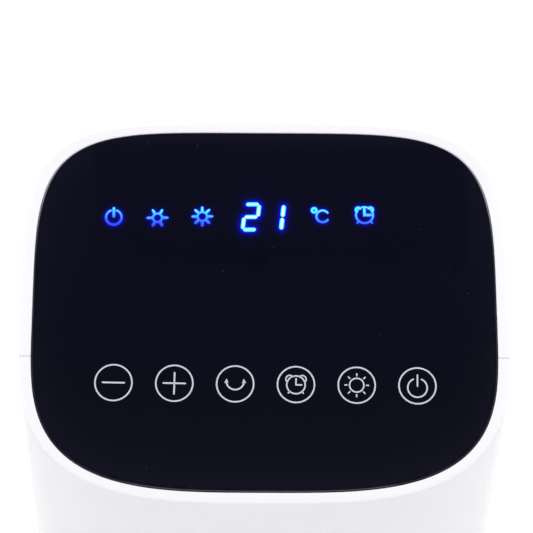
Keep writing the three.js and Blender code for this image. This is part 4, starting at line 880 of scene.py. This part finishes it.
screws(SHELL_SCREWS, "long_screw", "tower", (0, -1, 0))
screws([f"base_screw_{i}" for i in range(1, 4)], "floor_screw", "base", (0, 0, 1))
screws(["tray_screw_1", "tray_screw_2"], "panel_screw", "tower",
       (0, math.sin(SLANT), -math.cos(SLANT)))


# Ribbons: thin strips for signs, fins and blades

CLOSED, ROUND, SQUARE = "closed", "round ends", "square ends"
ROUND_END_DEGREES = [30, 55, 75, 87]
RIBBON_EDGE = [1, 1, 0, 1, 1]
SHARPEST_MITRE = 0.35


def ribbon(line, width, low, high, at, ends=ROUND):
    """A strip along a line. at(points, height) places it."""
    line = np.asarray(line, float)
    half_width = np.broadcast_to(np.asarray(width, float) / 2, len(line))
    if ends == ROUND:
        turn = np.radians(ROUND_END_DEGREES)
        first, last = half_width[0], half_width[-1]
        line = np.vstack([
            line[0] + unit(line[0] - line[1]) * first * np.sin(turn)[::-1, None], line,
            line[-1] + unit(line[-1] - line[-2]) * last * np.sin(turn)[:, None]])
        half_width = np.concatenate([first * np.cos(turn)[::-1], half_width, last * np.cos(turn)])
    ahead, behind = np.roll(line, -1, 0) - line, line - np.roll(line, 1, 0)
    if ends != CLOSED:
        ahead[-1], behind[0] = behind[-1], ahead[0]
    sides = [unit(np.stack([-step[:, 1], step[:, 0]], 1)) for step in (ahead, behind)]
    normal = unit(sides[0] + sides[1])
    mitre = np.maximum((normal * sides[0]).sum(1), SHARPEST_MITRE)
    offset = normal * (half_width / mitre)[:, None]
    left, right = line + offset, line - offset
    section = ((left, low), (left, high), (line, high), (right, high), (right, low))
    rows = np.stack([at(points, height) for points, height in section], 1)
    return skin(rows, wrap_rows=ends == CLOSED)


# Signs: lists of (line, width, ends), with their own middle at the origin

def minus_sign(length=7.65, width=0.54):
    reach = (length - width) / 2
    return [([(-reach, 0), (reach, 0)], width, ROUND)]


def plus_sign(length=7.7, width=0.55):
    reach = (length - width) / 2
    return [*minus_sign(length, width), ([(0, -reach), (0, reach)], width, ROUND)]


def swing_sign():
    """A smile with an arrowhead at each end."""
    heads = [([(side * 2.92, 0.3), (side * 2.8, 1.65)], [1.35, 0.15], SQUARE) for side in (-1, 1)]
    return [(arc(2.95, 190, 350, (0, 1.0)), 0.52, ROUND), *heads]


def clock_sign(radius=3.03, width=0.48, bell_radius=1.3, bell_width=0.44, low=-0.1, hand=0.48):
    signs = [(circle(radius, (0, low)), width, CLOSED)]
    signs.append(([(0, low + 2.1), (0, low), (1.9, low)], hand, ROUND))
    for side in (-1, 1):
        bell = arc(bell_radius, -40, 130, (2.05, 1.9 + low)) * [side, 1]
        signs.append((bell, bell_width, ROUND))
        signs.append(([(side * 2.1, low - 2.3), (side * 2.45, low - 2.8)], width, ROUND))
    return signs


def sun_sign(radius, width, rays, ray_start, ray_end, ray_width, first=90, tip=1.0, squash=1.0):
    signs = [(circle(radius), width, CLOSED)]
    for i in range(rays):
        turn = math.radians(first + 360 * i / rays)
        toward = np.array([math.cos(turn), math.sin(turn)])
        toward *= 1 - (1 - squash) * toward[1] ** 2
        ends = toward * (ray_start + ray_width / 2), toward * (ray_end - ray_width * tip / 2)
        signs.append((ends, [ray_width, ray_width * tip], ROUND))
    return signs


def power_sign(radius, width, gap, bar_top, bar_bottom, bar_width, low):
    bar_ends = [(0, bar_top - bar_width / 2), (0, bar_bottom + bar_width / 2)]
    return [(arc(radius, 90 + gap, 450 - gap, (0, low)), width, ROUND),
            (bar_ends, bar_width, ROUND)]


def celsius_sign():
    return [(circle(0.75, (-1.41, 1.09), 24), 1.1, CLOSED),
            (arc(2.1, 38, 322, (1.41, -1.09)), 0.85, ROUND)]


DIGIT_HALF, DIGIT_HALF_HEIGHT = 2.33, 4.52
DIGIT_LEAN = math.tan(math.radians(7))
DIGIT_GAP_SHARE = 0.13
DIGIT_TAPER, DIGIT_TAPER_SHARE = 0.45, 0.35
DIGIT_BARS = {
    "a": ((-1, 1), (1, 1)), "b": ((1, 1), (1, 0)), "c": ((1, 0), (1, -1)),
    "d": ((-1, -1), (1, -1)), "e": ((-1, 0), (-1, -1)), "f": ((-1, 1), (-1, 0)),
    "g": ((-1, 0), (1, 0))}


def digit(bars, width):
    """The lit bars of a seven-bar digit, from the letters a to g."""
    signs = []
    for name in bars:
        start, end = np.array(DIGIT_BARS[name], float) * [DIGIT_HALF, DIGIT_HALF_HEIGHT]
        start[0] += start[1] * DIGIT_LEAN
        end[0] += end[1] * DIGIT_LEAN
        along = unit(end - start) * width
        start, end = start + along * DIGIT_GAP_SHARE, end - along * DIGIT_GAP_SHARE
        taper = along * DIGIT_TAPER_SHARE
        signs.append(([start, start + taper, end - taper, end],
                      [width * DIGIT_TAPER, width, width, width * DIGIT_TAPER], SQUARE))
    return signs


def placed(signs, x, v, turn=0.0):
    return [(np.asarray(line) @ rotation(turn) + [x, v], width, ends)
            for line, width, ends in signs]


def signs_on(signs, low, high, at):
    """The signs as one shape, and how near to its edge each point is."""
    points, faces = joined([ribbon(line, width, low, high, at, ends)
                            for line, width, ends in signs])
    edge = np.tile(np.float32(RIBBON_EDGE), len(points) // len(RIBBON_EDGE))
    return (points, faces), {"edge": edge}


# Touch keys and lit display

KEY_PITCH = 20.0
KEY_X, KEY_V = 0.25, -18.9
KEY_ROW_RISE = math.tan(math.radians(-0.4))
KEY_RING, KEY_RING_WIDTH = 6.08, 0.51
KEY_TURN = math.radians(-1.0)
DISPLAY_TURN = math.radians(0.78)
DIGIT_WIDTH, NARROW_DIGIT_WIDTH = 1.5, 1.62
PRINT_LOW, PRINT_HIGH = 0.004, 0.03

KEYS = (
    minus_sign(), plus_sign(), swing_sign(), clock_sign(),
    sun_sign(2.35, 0.47, 8, 2.98, 4.12, 0.46), power_sign(3.2, 0.5, 25, 3.9, -0.36, 0.5, -0.67))
ICONS = (
    (power_sign(2.62, 0.84, 24, 3.55, -0.25, 1.15, -0.1), -50.95, 39.18),
    (sun_sign(1.52, 0.78, 6, 1.3, 3.75, 1.2, 0, tip=0.8, squash=0.9), -36.23, 38.98),
    (sun_sign(1.58, 0.75, 8, 1.5, 3.7, 1.2, tip=0.85, squash=0.97), -21.13, 39.53),
    (celsius_sign(), 18.06, 40.87),
    (clock_sign(2.88, 0.75, 0.75, 1.2, 0.0, 1.15), 33.64, 40.33))
DIGITS = (
    (digit("abged", DIGIT_WIDTH), -4.70, 39.44),
    (digit("bc", NARROW_DIGIT_WIDTH), 5.93 - DIGIT_HALF, 39.32))

key_lines = []
for i, signs in enumerate(KEYS):
    offset = KEY_PITCH * (i - (len(KEYS) - 1) / 2)
    ring = (circle(KEY_RING, steps=96), KEY_RING_WIDTH, CLOSED)
    key_lines += placed([*signs, ring], KEY_X + offset, KEY_V + offset * KEY_ROW_RISE, KEY_TURN)
icon_lines, digit_lines = (
    [line for signs, x, v in group for line in placed(signs, x, v, DISPLAY_TURN)]
    for group in (ICONS, DIGITS))


def printed_grey_with_painted_glow():
    paint = Paint("key print with painted light", (0.52, 0.52, 0.6), 0.35)
    paint.vary_colour(paint.noise(0.5, 3.0), 0.45, 0.75, (0.42, 0.42, 0.5))
    # Painted light: the printed signs give off a faint light of their own, though they are no lamp.
    paint.shine((0.6, 0.6, 0.7), 0.12)
    return paint.material


def lit_paint(name, span, stops, rim, soft, full, shift=0.0):
    """Light with colours that change up the slope, and a rim colour along the edges.

    The leftmost sign takes its colours from a little further down the slope.
    """
    paint = Paint(name, (0.0, 0.0, 0.0), 0.4)
    leftmost = paint.ranged(paint.along((1, 0, 0)), -46.0, -42.0, shift, 0.0)
    height = paint.math("SUBTRACT", paint.panel_height(), leftmost)
    ramp = paint.add("ShaderNodeValToRGB", {"Fac": paint.ranged(height, *span)})
    colours = ramp.color_ramp.elements
    for _ in stops[2:]:
        colours.new(1.0)
    for stop, colour, share in zip(colours, stops, np.linspace(0, 1, len(stops))):
        stop.position = share
        stop.color = (*colour, 1)
    edge = paint.ranged(paint.attribute("edge"), soft, full)
    light = paint.mix(edge, ramp.outputs["Color"], rim)
    spark = paint.ranged(paint.noise(0.6), 0.3, 0.7, 0.0, 0.06)
    paint.shine(paint.mix(spark, light, rim), 1.1)
    return paint.material


ICON_LIGHT = lit_paint(
    "icon light", (35.0, 41.6),
    [(0.01, 0.03, 1.0), (0.02, 0.12, 1.0), (0.05, 0.5, 1.0), (0.09, 1.0, 1.0)],
    (0.01, 0.04, 1.0), 0.3, 1.0, shift=1.2)
DIGIT_LIGHT = lit_paint(
    "digit light", (34.5, 44.4),
    [(0.5, 0.85, 1.0), (1.0, 1.0, 1.0), (1.0, 1.0, 1.0), (1.0, 1.0, 1.0), (0.55, 0.95, 1.0)],
    (0.0, 0.75, 1.0), 0.05, 0.8)
for name, lines, paint in (
        ("key_signs", key_lines, printed_grey_with_painted_glow()), ("lit_icons", icon_lines, ICON_LIGHT),
        ("lit_digits", digit_lines, DIGIT_LIGHT)):
    shape, edges = signs_on(
        lines, PRINT_LOW, PRINT_HIGH, lambda points, w: on_top(points[:, 0], points[:, 1], w))
    made(name, shape, "tower", "panel_black", paint=paint, attributes=edges)


# Panel, with what shows faintly through it, and painted light and halos on its face

PANEL_STEPS = 360
PANEL_GRID, LIT_GRID = 1.25, 0.36
GRID_ROW, GRID_BORDER = 0.866, 0.6
LIT_AREA = (-58.0, 42.0, 31.0, 48.5)
BAND, BAND_SOFTNESS = (-57.0, 67.0, 22.4, 65.0), 1.5
BAND_LINES, BAND_LINE_LOW = (-43.5, 43.5), 52.0
BAND_LINE_HALF, BAND_LINE_LIGHT, BAND_LINE_SOFTNESS = 0.5, 0.7, 0.7
RECEIVER, RECEIVER_SHADE = (-5.9, 1.1, 19.9, 27.2), 1.2
BOSSES = ((-42.2, -29.0, 0.16), (42.3, -29.1, 0.16), (0.0, -9.3, 0.1))
BOSS_RADIUS, BOSS_LINE_HALF, BOSS_SOFTNESS = 3.5, 0.15, 0.35
# Painted light on the panel's face, near its edge and towards its front.
PAINTED_RIM_LIGHT, RIM_LIGHT_REACH, RIM_LIGHT_STRIDE = 0.45, 5.0, 3
PAINTED_FRONT_LIGHT, FRONT_LIGHT_SPAN = 0.3, 50.0
LIGHT_STEP, FEWEST_LIGHTS = 0.3, 3
# Painted halos that the lit signs throw on the panel's face: (lines, strength, reach).
HALOS = ((icon_lines, 3.2, 0.3), (icon_lines, 0.002, 2.0), (digit_lines, 2.6, 0.44),
         (digit_lines, 0.007, 2.0))


def soft_step(value, reach=0.8):
    """1 well inside a shape and 0 outside, from a distance that is negative inside."""
    return np.clip(0.5 - value / (2 * reach), 0, 1)


def box_distance(points, box):
    """How far points lie outside a box, or inside it when negative."""
    x0, x1, v0, v1 = box
    outside = np.abs(points - [(x0 + x1) / 2, (v0 + v1) / 2]) - [(x1 - x0) / 2, (v1 - v0) / 2]
    return outside.max(1)


def seen_through_with_painted_light(points, edge):
    """How much what lies under the panel darkens (below 0) or lightens it, with painted light added
    near the panel's edge and towards its front.
    """
    near_edge = np.min([np.linalg.norm(points - place, axis=1)
                        for place in edge[::RIM_LIGHT_STRIDE]], 0)
    # Painted light: brighter near the panel's edge and towards its front.
    light = PAINTED_RIM_LIGHT * np.exp(-near_edge / RIM_LIGHT_REACH)
    light += PAINTED_FRONT_LIGHT * np.clip(-points[:, 1] / FRONT_LIGHT_SPAN, 0, 1)
    light -= soft_step(box_distance(points, BAND), BAND_SOFTNESS)
    light -= RECEIVER_SHADE * soft_step(box_distance(points, RECEIVER))
    for x in BAND_LINES:
        line = (x - BAND_LINE_HALF, x + BAND_LINE_HALF, BAND_LINE_LOW, BAND[3])
        light += BAND_LINE_LIGHT * soft_step(box_distance(points, line), BAND_LINE_SOFTNESS)
    for x, v, strength in BOSSES:
        ring = np.abs(np.linalg.norm(points - (x, v), axis=1) - BOSS_RADIUS) - BOSS_LINE_HALF
        light += strength * soft_step(ring, BOSS_SOFTNESS)
    return light


def light_around(points, lines, reach):
    """The light that the strokes of the signs throw on each point."""
    light = np.zeros(len(points))
    for line, width, ends in lines:
        line = np.vstack([line, line[:1]]) if ends == CLOSED else line
        length = np.linalg.norm(np.diff(line, axis=0), axis=1).sum()
        count = max(FEWEST_LIGHTS, int(length / LIGHT_STEP))
        stroke = spaced(np.column_stack([line, np.broadcast_to(width, len(line))]), count)
        for x, v, wide in stroke:
            away = np.hypot(points[:, 0] - x, points[:, 1] - v)
            light += wide * length / count * np.exp(-away / reach)
    return light


def grid_points(box, step):
    """Points that fill a box, each row half a step aside from the last."""
    x0, x1, v0, v1 = box
    rows = []
    for i, v in enumerate(np.arange(v0, v1, step * GRID_ROW)):
        x = np.arange(x0 + i % 2 * step / 2, x1, step)
        rows.append(np.column_stack([x, np.full(len(x), v)]))
    return np.vstack(rows)


def inside_outline(points, loop):
    """Which points lie inside a closed outline."""
    x, v = points[:, :1], points[:, 1:]
    after = np.roll(loop, -1, 0)
    beside = (loop[:, 1] > v) != (after[:, 1] > v)
    rise = after[:, 1] - loop[:, 1]
    rise[rise == 0] = 1  # no point is beside a level edge
    crossing = loop[:, 0] + (v - loop[:, 1]) / rise * (after[:, 0] - loop[:, 0])
    return (beside & (x < crossing)).sum(1) % 2 == 1


def touch_panel():
    """The panel with a finely divided face, and what each point of it shows, including painted halos
    and painted light.
    """
    rim = spaced(np.vstack([PANEL, PANEL[:1]]), PANEL_STEPS + 1)[:-1]
    from_corner = (in_plane(rim)[:, 1] - CORNER_MIDDLE) / CORNER_SPAN
    chamfer = PANEL_CHAMFER + CORNER_CHAMFER * np.clip(1 - from_corner ** 2, 0, None) ** 2
    edge = grown(rim, -chamfer[:, None])
    rows = [slanted(grown(rim, growth), w)
            for growth, w in fillet(PANEL_EDGE, depth=-PANEL_THICKNESS)]
    points, faces = skin([*rows, slanted(rim, -PANEL_CHAMFER), slanted(edge, 0)])
    edge = in_plane(edge)
    coarse = grid_points(np.stack([edge.min(0), edge.max(0)], 1).ravel(), PANEL_GRID)
    coarse = coarse[inside_outline(coarse, grown(edge, -PANEL_GRID * GRID_BORDER))]
    coarse = coarse[box_distance(coarse, LIT_AREA) > 0]
    face = np.vstack([edge, coarse, grid_points(LIT_AREA, LIT_GRID)])
    loop = [(i, (i + 1) % len(edge)) for i in range(len(edge))]
    face, _, triangles, *_ = delaunay_2d_cdt([Vector(point) for point in face], loop, [], 1, 1e-6)
    face = np.array(face)
    shape = joined([(points, faces[:-1]), (on_top(face[:, 0], face[:, 1], 0), triangles)])
    # Painted halos: the light of the lit signs, spread over the face's points.
    glow = sum(strength * light_around(face, lines, reach) for lines, strength, reach in HALOS)
    shown = {"glow": np.minimum(glow, 1.0), "beneath": seen_through_with_painted_light(face, edge)}
    blank = np.zeros(len(points))
    return shape, {title: np.float32(np.concatenate([blank, values]))
                   for title, values in shown.items()}


def smoked_panel_with_painted_light():
    """Smoked gloss over a dark board, with dust, a painted reflection that lightens the face up the
    slope, painted light near the edge and towards the front, a painted highlight on the chamfer near
    the upper corners and painted halos round the lit signs.
    """
    paint = Paint("smoked panel with painted light", (0.002, 0.002, 0.0075), 0.07)
    height, beneath = paint.panel_height(), paint.attribute("beneath")
    # Painted reflection: the face turns lighter up the slope.
    tint = paint.mix(paint.ranged(height, -50.0, 68.0),
                     (0.0018, 0.0017, 0.0066), (0.0030, 0.0031, 0.0105))
    tint = paint.mix(paint.ranged(beneath, -2.0, 0.0, 0.45, 0.0), tint, (0.0004, 0.0004, 0.0045))
    # Lighter where the board's lines and bosses show, and where the painted light near the edge and
    # front falls.
    tint = paint.mix(paint.ranged(beneath, 0.0, 1.0), tint, (0.0075, 0.0082, 0.016))
    # Painted highlight: the chamfer turns light grey near the upper corners and stays dark blue
    # elsewhere.
    corners = paint.math("MULTIPLY", paint.ranged(height, 25.0, 45.0),
                         paint.ranged(height, 64.5, 67.0, 1.0, 0.0))
    chamfer_with_painted_highlight = paint.mix(corners, (0.004, 0.006, 0.016), (0.2, 0.2, 0.205))
    depth = paint.along((0, math.sin(SLANT), -math.cos(SLANT)))
    tint = paint.mix(paint.math("GREATER_THAN", depth, 0.03), tint, chamfer_with_painted_highlight)
    specks = paint.cells(7.0)
    chosen = paint.math("GREATER_THAN", specks["Color"], 0.55)
    near = paint.math("LESS_THAN", specks["Distance"], 0.022)
    dust = paint.math("MULTIPLY", near, paint.math("MULTIPLY", chosen, 0.2))
    paint.set("Base Color", paint.mix(dust, tint, (0.3, 0.32, 0.4)))
    # Painted halo: the face shines blue around the lit signs.
    paint.shine(paint.mix(paint.attribute("glow"), (0.0, 0.0, 0.0), (0.002, 0.002, 0.8)), 1.0)
    paint.vary_roughness(paint.noise(24.0, 4.0), 0.05, 0.1)
    return paint.material


panel_shape, panel_values = touch_panel()
made("touch_panel", panel_shape, "tower", "panel_black", ["control_panel"], smoked_panel_with_painted_light(),
     attributes=panel_values, angle=PANEL_ANGLE)


# Mains switch

BEZEL_THICKNESS, BEZEL_CORNER, BEZEL_EDGE = 1.2, 1.2, 0.7
SWITCH_CORNER, SWITCH_EDGE = 0.6, 0.8
WELL_DEPTH, WELL_GAP, WELL_CORNER = 9.0, 0.4, 0.4
ROCKER_HALF, ROCKER_HALF_HEIGHT = 4.8, 7.0
ROCKER_PIVOT_DEPTH = 3.5
ROCKER_PROUD, ROCKER_DISH = 2.2, 1.0
ROCKER_SKIRT = 3.0
ROCKER_EDGE = 0.5
ROCKER_TILT = math.radians(10)
ROCKER_TOP = ROCKER_HALF_HEIGHT - ROCKER_DISH / 2
ROCKER_STEPS = 15
MARK_HEIGHT, MARK_HALF, MARK_RADIUS, MARK_WIDTH, MARK_PROUD = 3.5, 1.1, 1.15, 0.4, 0.05
SWITCH_MIDDLE = middle("switch_body")
SWITCH_FACE = switch_high[1]


def switch_housing():
    reach = np.array([ROCKER_HALF, 0, ROCKER_HALF_HEIGHT + WELL_GAP])
    well = around(SWITCH_MIDDLE - reach, SWITCH_MIDDLE + reach, WELL_GAP, WELL_CORNER)
    bezel = around(switch_low, switch_high, 0, BEZEL_CORNER)
    body = around(switch_low, switch_high, -BEZEL, SWITCH_CORNER)
    behind = SWITCH_FACE - BEZEL_THICKNESS
    rows = rings(body, [*fillet(SWITCH_EDGE, depth=switch_low[1]), (0, behind)])
    rows += rings(bezel, [(0, behind), *fillet(BEZEL_EDGE, depth=SWITCH_FACE, down=-1)[::-1]])
    rows += rings(well, [*fillet(WELL_CORNER, depth=SWITCH_FACE, out=1, down=-1),
                         (0, SWITCH_FACE - WELL_DEPTH)])
    return skin(rows)


def rocker_crown(height):
    """How far the rocker's dished face stands out from its pivot."""
    return ROCKER_PIVOT_DEPTH + ROCKER_PROUD - ROCKER_DISH * (1 - np.abs(height) / ROCKER_TOP)


def on_rocker(x, height, depth):
    """Points of the switched rocker, from their height and depth about the pivot."""
    c, s = math.cos(ROCKER_TILT), math.sin(ROCKER_TILT)
    x, height, depth = np.broadcast_arrays(x, height, depth)
    tilted = np.stack([x, depth * c - height * s, depth * s + height * c], -1)
    return tilted + [SWITCH_MIDDLE[0], SWITCH_FACE - ROCKER_PIVOT_DEPTH, SWITCH_MIDDLE[2]]


def rocker():
    face = np.linspace(ROCKER_TOP - ROCKER_EDGE, ROCKER_EDGE - ROCKER_TOP, ROCKER_STEPS)
    shoulder = rocker_crown(ROCKER_TOP) - ROCKER_EDGE
    section = np.array([
        (-ROCKER_HALF_HEIGHT, 0), (-ROCKER_HALF_HEIGHT / 2, -ROCKER_SKIRT),
        (ROCKER_HALF_HEIGHT / 2, -ROCKER_SKIRT), (ROCKER_HALF_HEIGHT, 0), (ROCKER_TOP, shoulder),
        *zip(face, rocker_crown(face)), (-ROCKER_TOP, shoulder)])
    centre = section.mean(0)
    rows = []
    for growth, x in fillets(ROCKER_EDGE, -ROCKER_HALF, ROCKER_HALF):
        ring = centre + (section - centre) * (1 + growth / ROCKER_HALF_HEIGHT)
        rows.append(on_rocker(x, *ring.T))
    return skin(rows)


def on_rocker_face(points, height):
    return on_rocker(*points.T, rocker_crown(points[:, 1]) + height)


made("switch_housing", switch_housing(), "tower", "black_plastic", ["switch_body"])
made("switch_key", rocker(), "rocker", "black_plastic", ["switch_rocker"])
mark_lines = placed([([(0, -MARK_HALF), (0, MARK_HALF)], MARK_WIDTH, ROUND)], 0, MARK_HEIGHT)
mark_lines += placed([(circle(MARK_RADIUS, steps=32), MARK_WIDTH, CLOSED)], 0, -MARK_HEIGHT)
mark_shape, _ = signs_on(mark_lines, 0, MARK_PROUD, on_rocker_face)
made("switch_marks", mark_shape, "rocker", "black_plastic", paint=PAINTS["cream_plastic"])


# Ceramic element with its frame

core_low, core_high = cad_box("heater_core")
frame_low, frame_high = cad_box("heater_frame")
CERAMIC_BARS = 4
CERAMIC_WIDTH, CERAMIC_EDGE = 4.0, 0.5
END_RAIL = 1.4
RAIL_INSET = np.array([1.0, 0.2, 0.0])
FIN_PITCH = 3.2
FIN_SHEET = 0.3
FIN_INSET = 0.3
FIN_FOLD = ((0, 0.1), (1, 0.4), (1, 0.6), (0, 0.9))
CORE_LIP = 2.0
CORE_SEAT_CORNER = 0.3
FRAME_EDGE = 1.0


def box_shape(low, high, edge):
    """A box with rounded corners all round."""
    profile = fillets(edge, low[1], high[1], steps=SMALL_FILLET_STEPS)
    return skin(rings(around(low, high, 0, edge), profile))


def heating_core():
    low, high = core_low, core_high
    column = (high[0] - low[0] - CERAMIC_BARS * CERAMIC_WIDTH) / (CERAMIC_BARS - 1)
    parts = []
    for i in range(CERAMIC_BARS):
        x = low[0] + i * (column + CERAMIC_WIDTH)
        parts.append(box_shape((x, *low[1:]), (x + CERAMIC_WIDTH, *high[1:]), CERAMIC_EDGE))
    for z in (low[2], high[2] - END_RAIL):
        parts.append(box_shape((*low[:2], z) + RAIL_INSET, (*high[:2], z + END_RAIL) - RAIL_INSET,
                               CERAMIC_EDGE))
    folds = int((high[2] - low[2] - 2 * END_RAIL) / FIN_PITCH)
    for i in range(CERAMIC_BARS - 1):
        x = low[0] + CERAMIC_WIDTH + i * (column + CERAMIC_WIDTH) + FIN_SHEET
        line = [(x + (column - 2 * FIN_SHEET) * across, low[2] + END_RAIL + FIN_PITCH * (k + rise))
                for k in range(folds) for across, rise in FIN_FOLD]
        parts.append(ribbon(line, FIN_SHEET, low[1] + FIN_INSET, high[1] - FIN_INSET, upright,
                            SQUARE))
    return joined(parts)


def heating_frame():
    seat = around(core_low, core_high, SEAT_GAP, CORE_SEAT_CORNER)
    mouth = around(core_low, core_high, -CORE_LIP, FRAME_EDGE)
    seat_y = core_low[1] - SEAT_GAP
    front, back = frame_low[1], frame_high[1]
    rows = rings(around(frame_low, frame_high, 0, FRAME_EDGE), fillets(FRAME_EDGE, front, back))
    rows += rings(seat, [(0, back), (0, seat_y)])
    rows += rings(mouth, [(0, seat_y), *fillet(FRAME_EDGE, depth=front, out=1)[::-1]])
    return skin(rows, wrap_rows=True)


made("heating_core", heating_core(), "tower", "aluminium", ["heater_core"])
made("heating_frame", heating_frame(), "tower", "cream_plastic", ["heater_frame"])


# Cross-flow fan

fan_low, fan_high = cad_box("fan_wheel")
FAN_RADIUS = (fan_high[0] - fan_low[0]) / 2
BLADES, BLADE_STEPS = 32, 7
BLADE_DEPTH, BLADE_THICKNESS, BLADE_INSET = 7.0, 0.9, 1.0
BLADE_SWEEP, BLADE_BULGE = math.radians(14), math.radians(5.5)
FAN_SECTIONS = 2
DISC_THICKNESS, DISC_EDGE, DISC_RIM = 2.0, 0.5, 8.5
FAN_BORE = 3.3


def fan():
    centre = middle("fan_wheel")[:2]
    low, high = fan_low[2], fan_high[2]
    shares = np.linspace(0, 1, BLADE_STEPS)
    radius = FAN_RADIUS - BLADE_DEPTH + (BLADE_DEPTH - BLADE_THICKNESS) * shares
    bulge = np.sin(math.pi * shares) * BLADE_BULGE * (1 - shares / 2)
    parts = []
    for i in range(BLADES):
        turn = 2 * math.pi * i / BLADES + BLADE_SWEEP * shares ** 2 - bulge
        spine = centre + np.stack([radius * np.cos(turn), radius * np.sin(turn)], 1)
        parts.append(ribbon(spine, BLADE_THICKNESS, low + BLADE_INSET, high - BLADE_INSET, level))
    for i in range(FAN_SECTIONS + 1):
        z = low + (high - low - DISC_THICKNESS) * i / FAN_SECTIONS
        top = z + DISC_THICKNESS
        inner = FAN_BORE if i in (0, FAN_SECTIONS) else FAN_RADIUS - DISC_RIM
        profile = fillets(DISC_EDGE, z, top, FAN_RADIUS, SMALL_FILLET_STEPS)
        profile += [(inner, top), (inner, z)]
        parts.append(skin(turned(profile, centre, DISC_STEPS), wrap_rows=True))
    return joined(parts)


made("fan_drum", fan(), "fan", "black_plastic", ["fan_wheel"])


# Remaining solids: a small rounding on their edges

BEVELS = {
    0.2: ["power_board", "display_board", "touch_board"],
    0.3: ["retaining_ring", "panel_tray", "scroll_duct"],
    0.4: ["swivel_post", "bearing_ring", "base_plate", "tip_plunger", "lower_deck", "upper_deck",
          "fan_bearing", "swivel_plate", "dust_filter"],
    0.5: ["base_weight", "tip_switch", "display_module", "ir_receiver"],
    0.6: ["relay_1", "relay_2", "swivel_motor", "thermal_cutout"],
    0.8: ["fan_motor", "filter_capacitor"]}
BEVEL_SEGMENTS, BEVEL_ANGLE = 2, 40
WELD_REACH = 0.001
for width, nodes in BEVELS.items():
    for node in nodes:
        modifiers = frame["nodes"][node].modifiers
        modifiers.new("shared corners", "WELD").merge_threshold = WELD_REACH * MM
        step = modifiers.new("edges", "BEVEL")
        step.width = width * MM
        step.segments = BEVEL_SEGMENTS
        step.limit_method = "ANGLE"
        step.angle_limit = math.radians(BEVEL_ANGLE)


# Camera, floor and light

CAMERA_FROM_PANEL = np.array([-8.88, -440.59, 551.74])
CAMERA_YAW, CAMERA_PITCH, CAMERA_ROLL = 0.020436, 0.867423, 0.020443
FOCAL_PIXELS, IMAGE_PIXELS = 2128.23, 533
SENSOR = 36.0
FLOOR_HALF = 6000.0
SKY = ((0.72, (1, 1, 1, 1)), (0.93, (0.06, 0.06, 0.075, 1)))
SKY_STRENGTH = 0.675
LIGHT_AIM = Vector((0, 0, 380))
LIGHTS = (
    ("left light", (-850, 0, 1800), 700, 9.3), ("right light", (850, 0, 1800), 700, 9.3),
    ("back light", (0, 1000, 1700), 700, 1.5), ("front light", (0, -1600, 900), 1000, 3.6))


def set_camera():
    data = bpy.data.cameras.new("camera")
    data.sensor_width = SENSOR
    data.lens = SENSOR * FOCAL_PIXELS / IMAGE_PIXELS
    data.clip_end = 100
    camera = linked("camera", data)
    camera.matrix_world = (
        Matrix.Translation((CAMERA_FROM_PANEL + [0, SECTION_Y, RIM_Z]) * MM)
        @ Matrix.Rotation(-CAMERA_YAW, 4, "Z")
        @ Matrix.Rotation(math.pi / 2 - CAMERA_PITCH, 4, "X")
        @ Matrix.Rotation(CAMERA_ROLL, 4, "Z"))
    bpy.context.scene.camera = camera


def soft_light(name, place, size, power):
    data = bpy.data.lights.new(name, "AREA")
    data.shape = "SQUARE"
    data.size = size * MM
    data.energy = power
    light = linked(name, data)
    light.location = Vector(place) * MM
    light.rotation_mode = "QUATERNION"
    light.rotation_quaternion = (LIGHT_AIM - Vector(place)).to_track_quat("-Z", "Y")


def make_floor():
    corners = [(x * FLOOR_HALF, y * FLOOR_HALF, 0) for x, y in ((-1, -1), (1, -1), (1, 1), (-1, 1))]
    floor = linked("floor", mesh_from(corners, [(0, 1, 2, 3)]))
    paint = Paint("studio floor", (0.9, 0.9, 0.9), 0.6, specular=0.2)
    paint.vary_colour(paint.noise(400.0), 0.4, 0.6, (0.885, 0.885, 0.885))
    paint.shine((1, 1, 1), 0.3)
    floor.data.materials.append(paint.material)


def make_sky():
    """White all round, and darker overhead, where the glossy panel looks."""
    world = bpy.data.worlds.new("studio")
    bpy.context.scene.world = world
    world.use_nodes = True
    nodes, links = world.node_tree.nodes, world.node_tree.links
    where, parts, ramp = (nodes.new(f"ShaderNode{kind}")
                          for kind in ("TexCoord", "SeparateXYZ", "ValToRGB"))
    for stop, (position, colour) in zip(ramp.color_ramp.elements, SKY):
        stop.position = position
        stop.color = colour
    links.new(where.outputs["Generated"], parts.inputs[0])
    links.new(parts.outputs["Z"], ramp.inputs[0])
    links.new(ramp.outputs["Color"], nodes["Background"].inputs["Color"])
    nodes["Background"].inputs["Strength"].default_value = SKY_STRENGTH


set_camera()
make_floor()
make_sky()
for light in LIGHTS:
    soft_light(*light)
bpy.context.scene.view_settings.view_transform = "Standard"
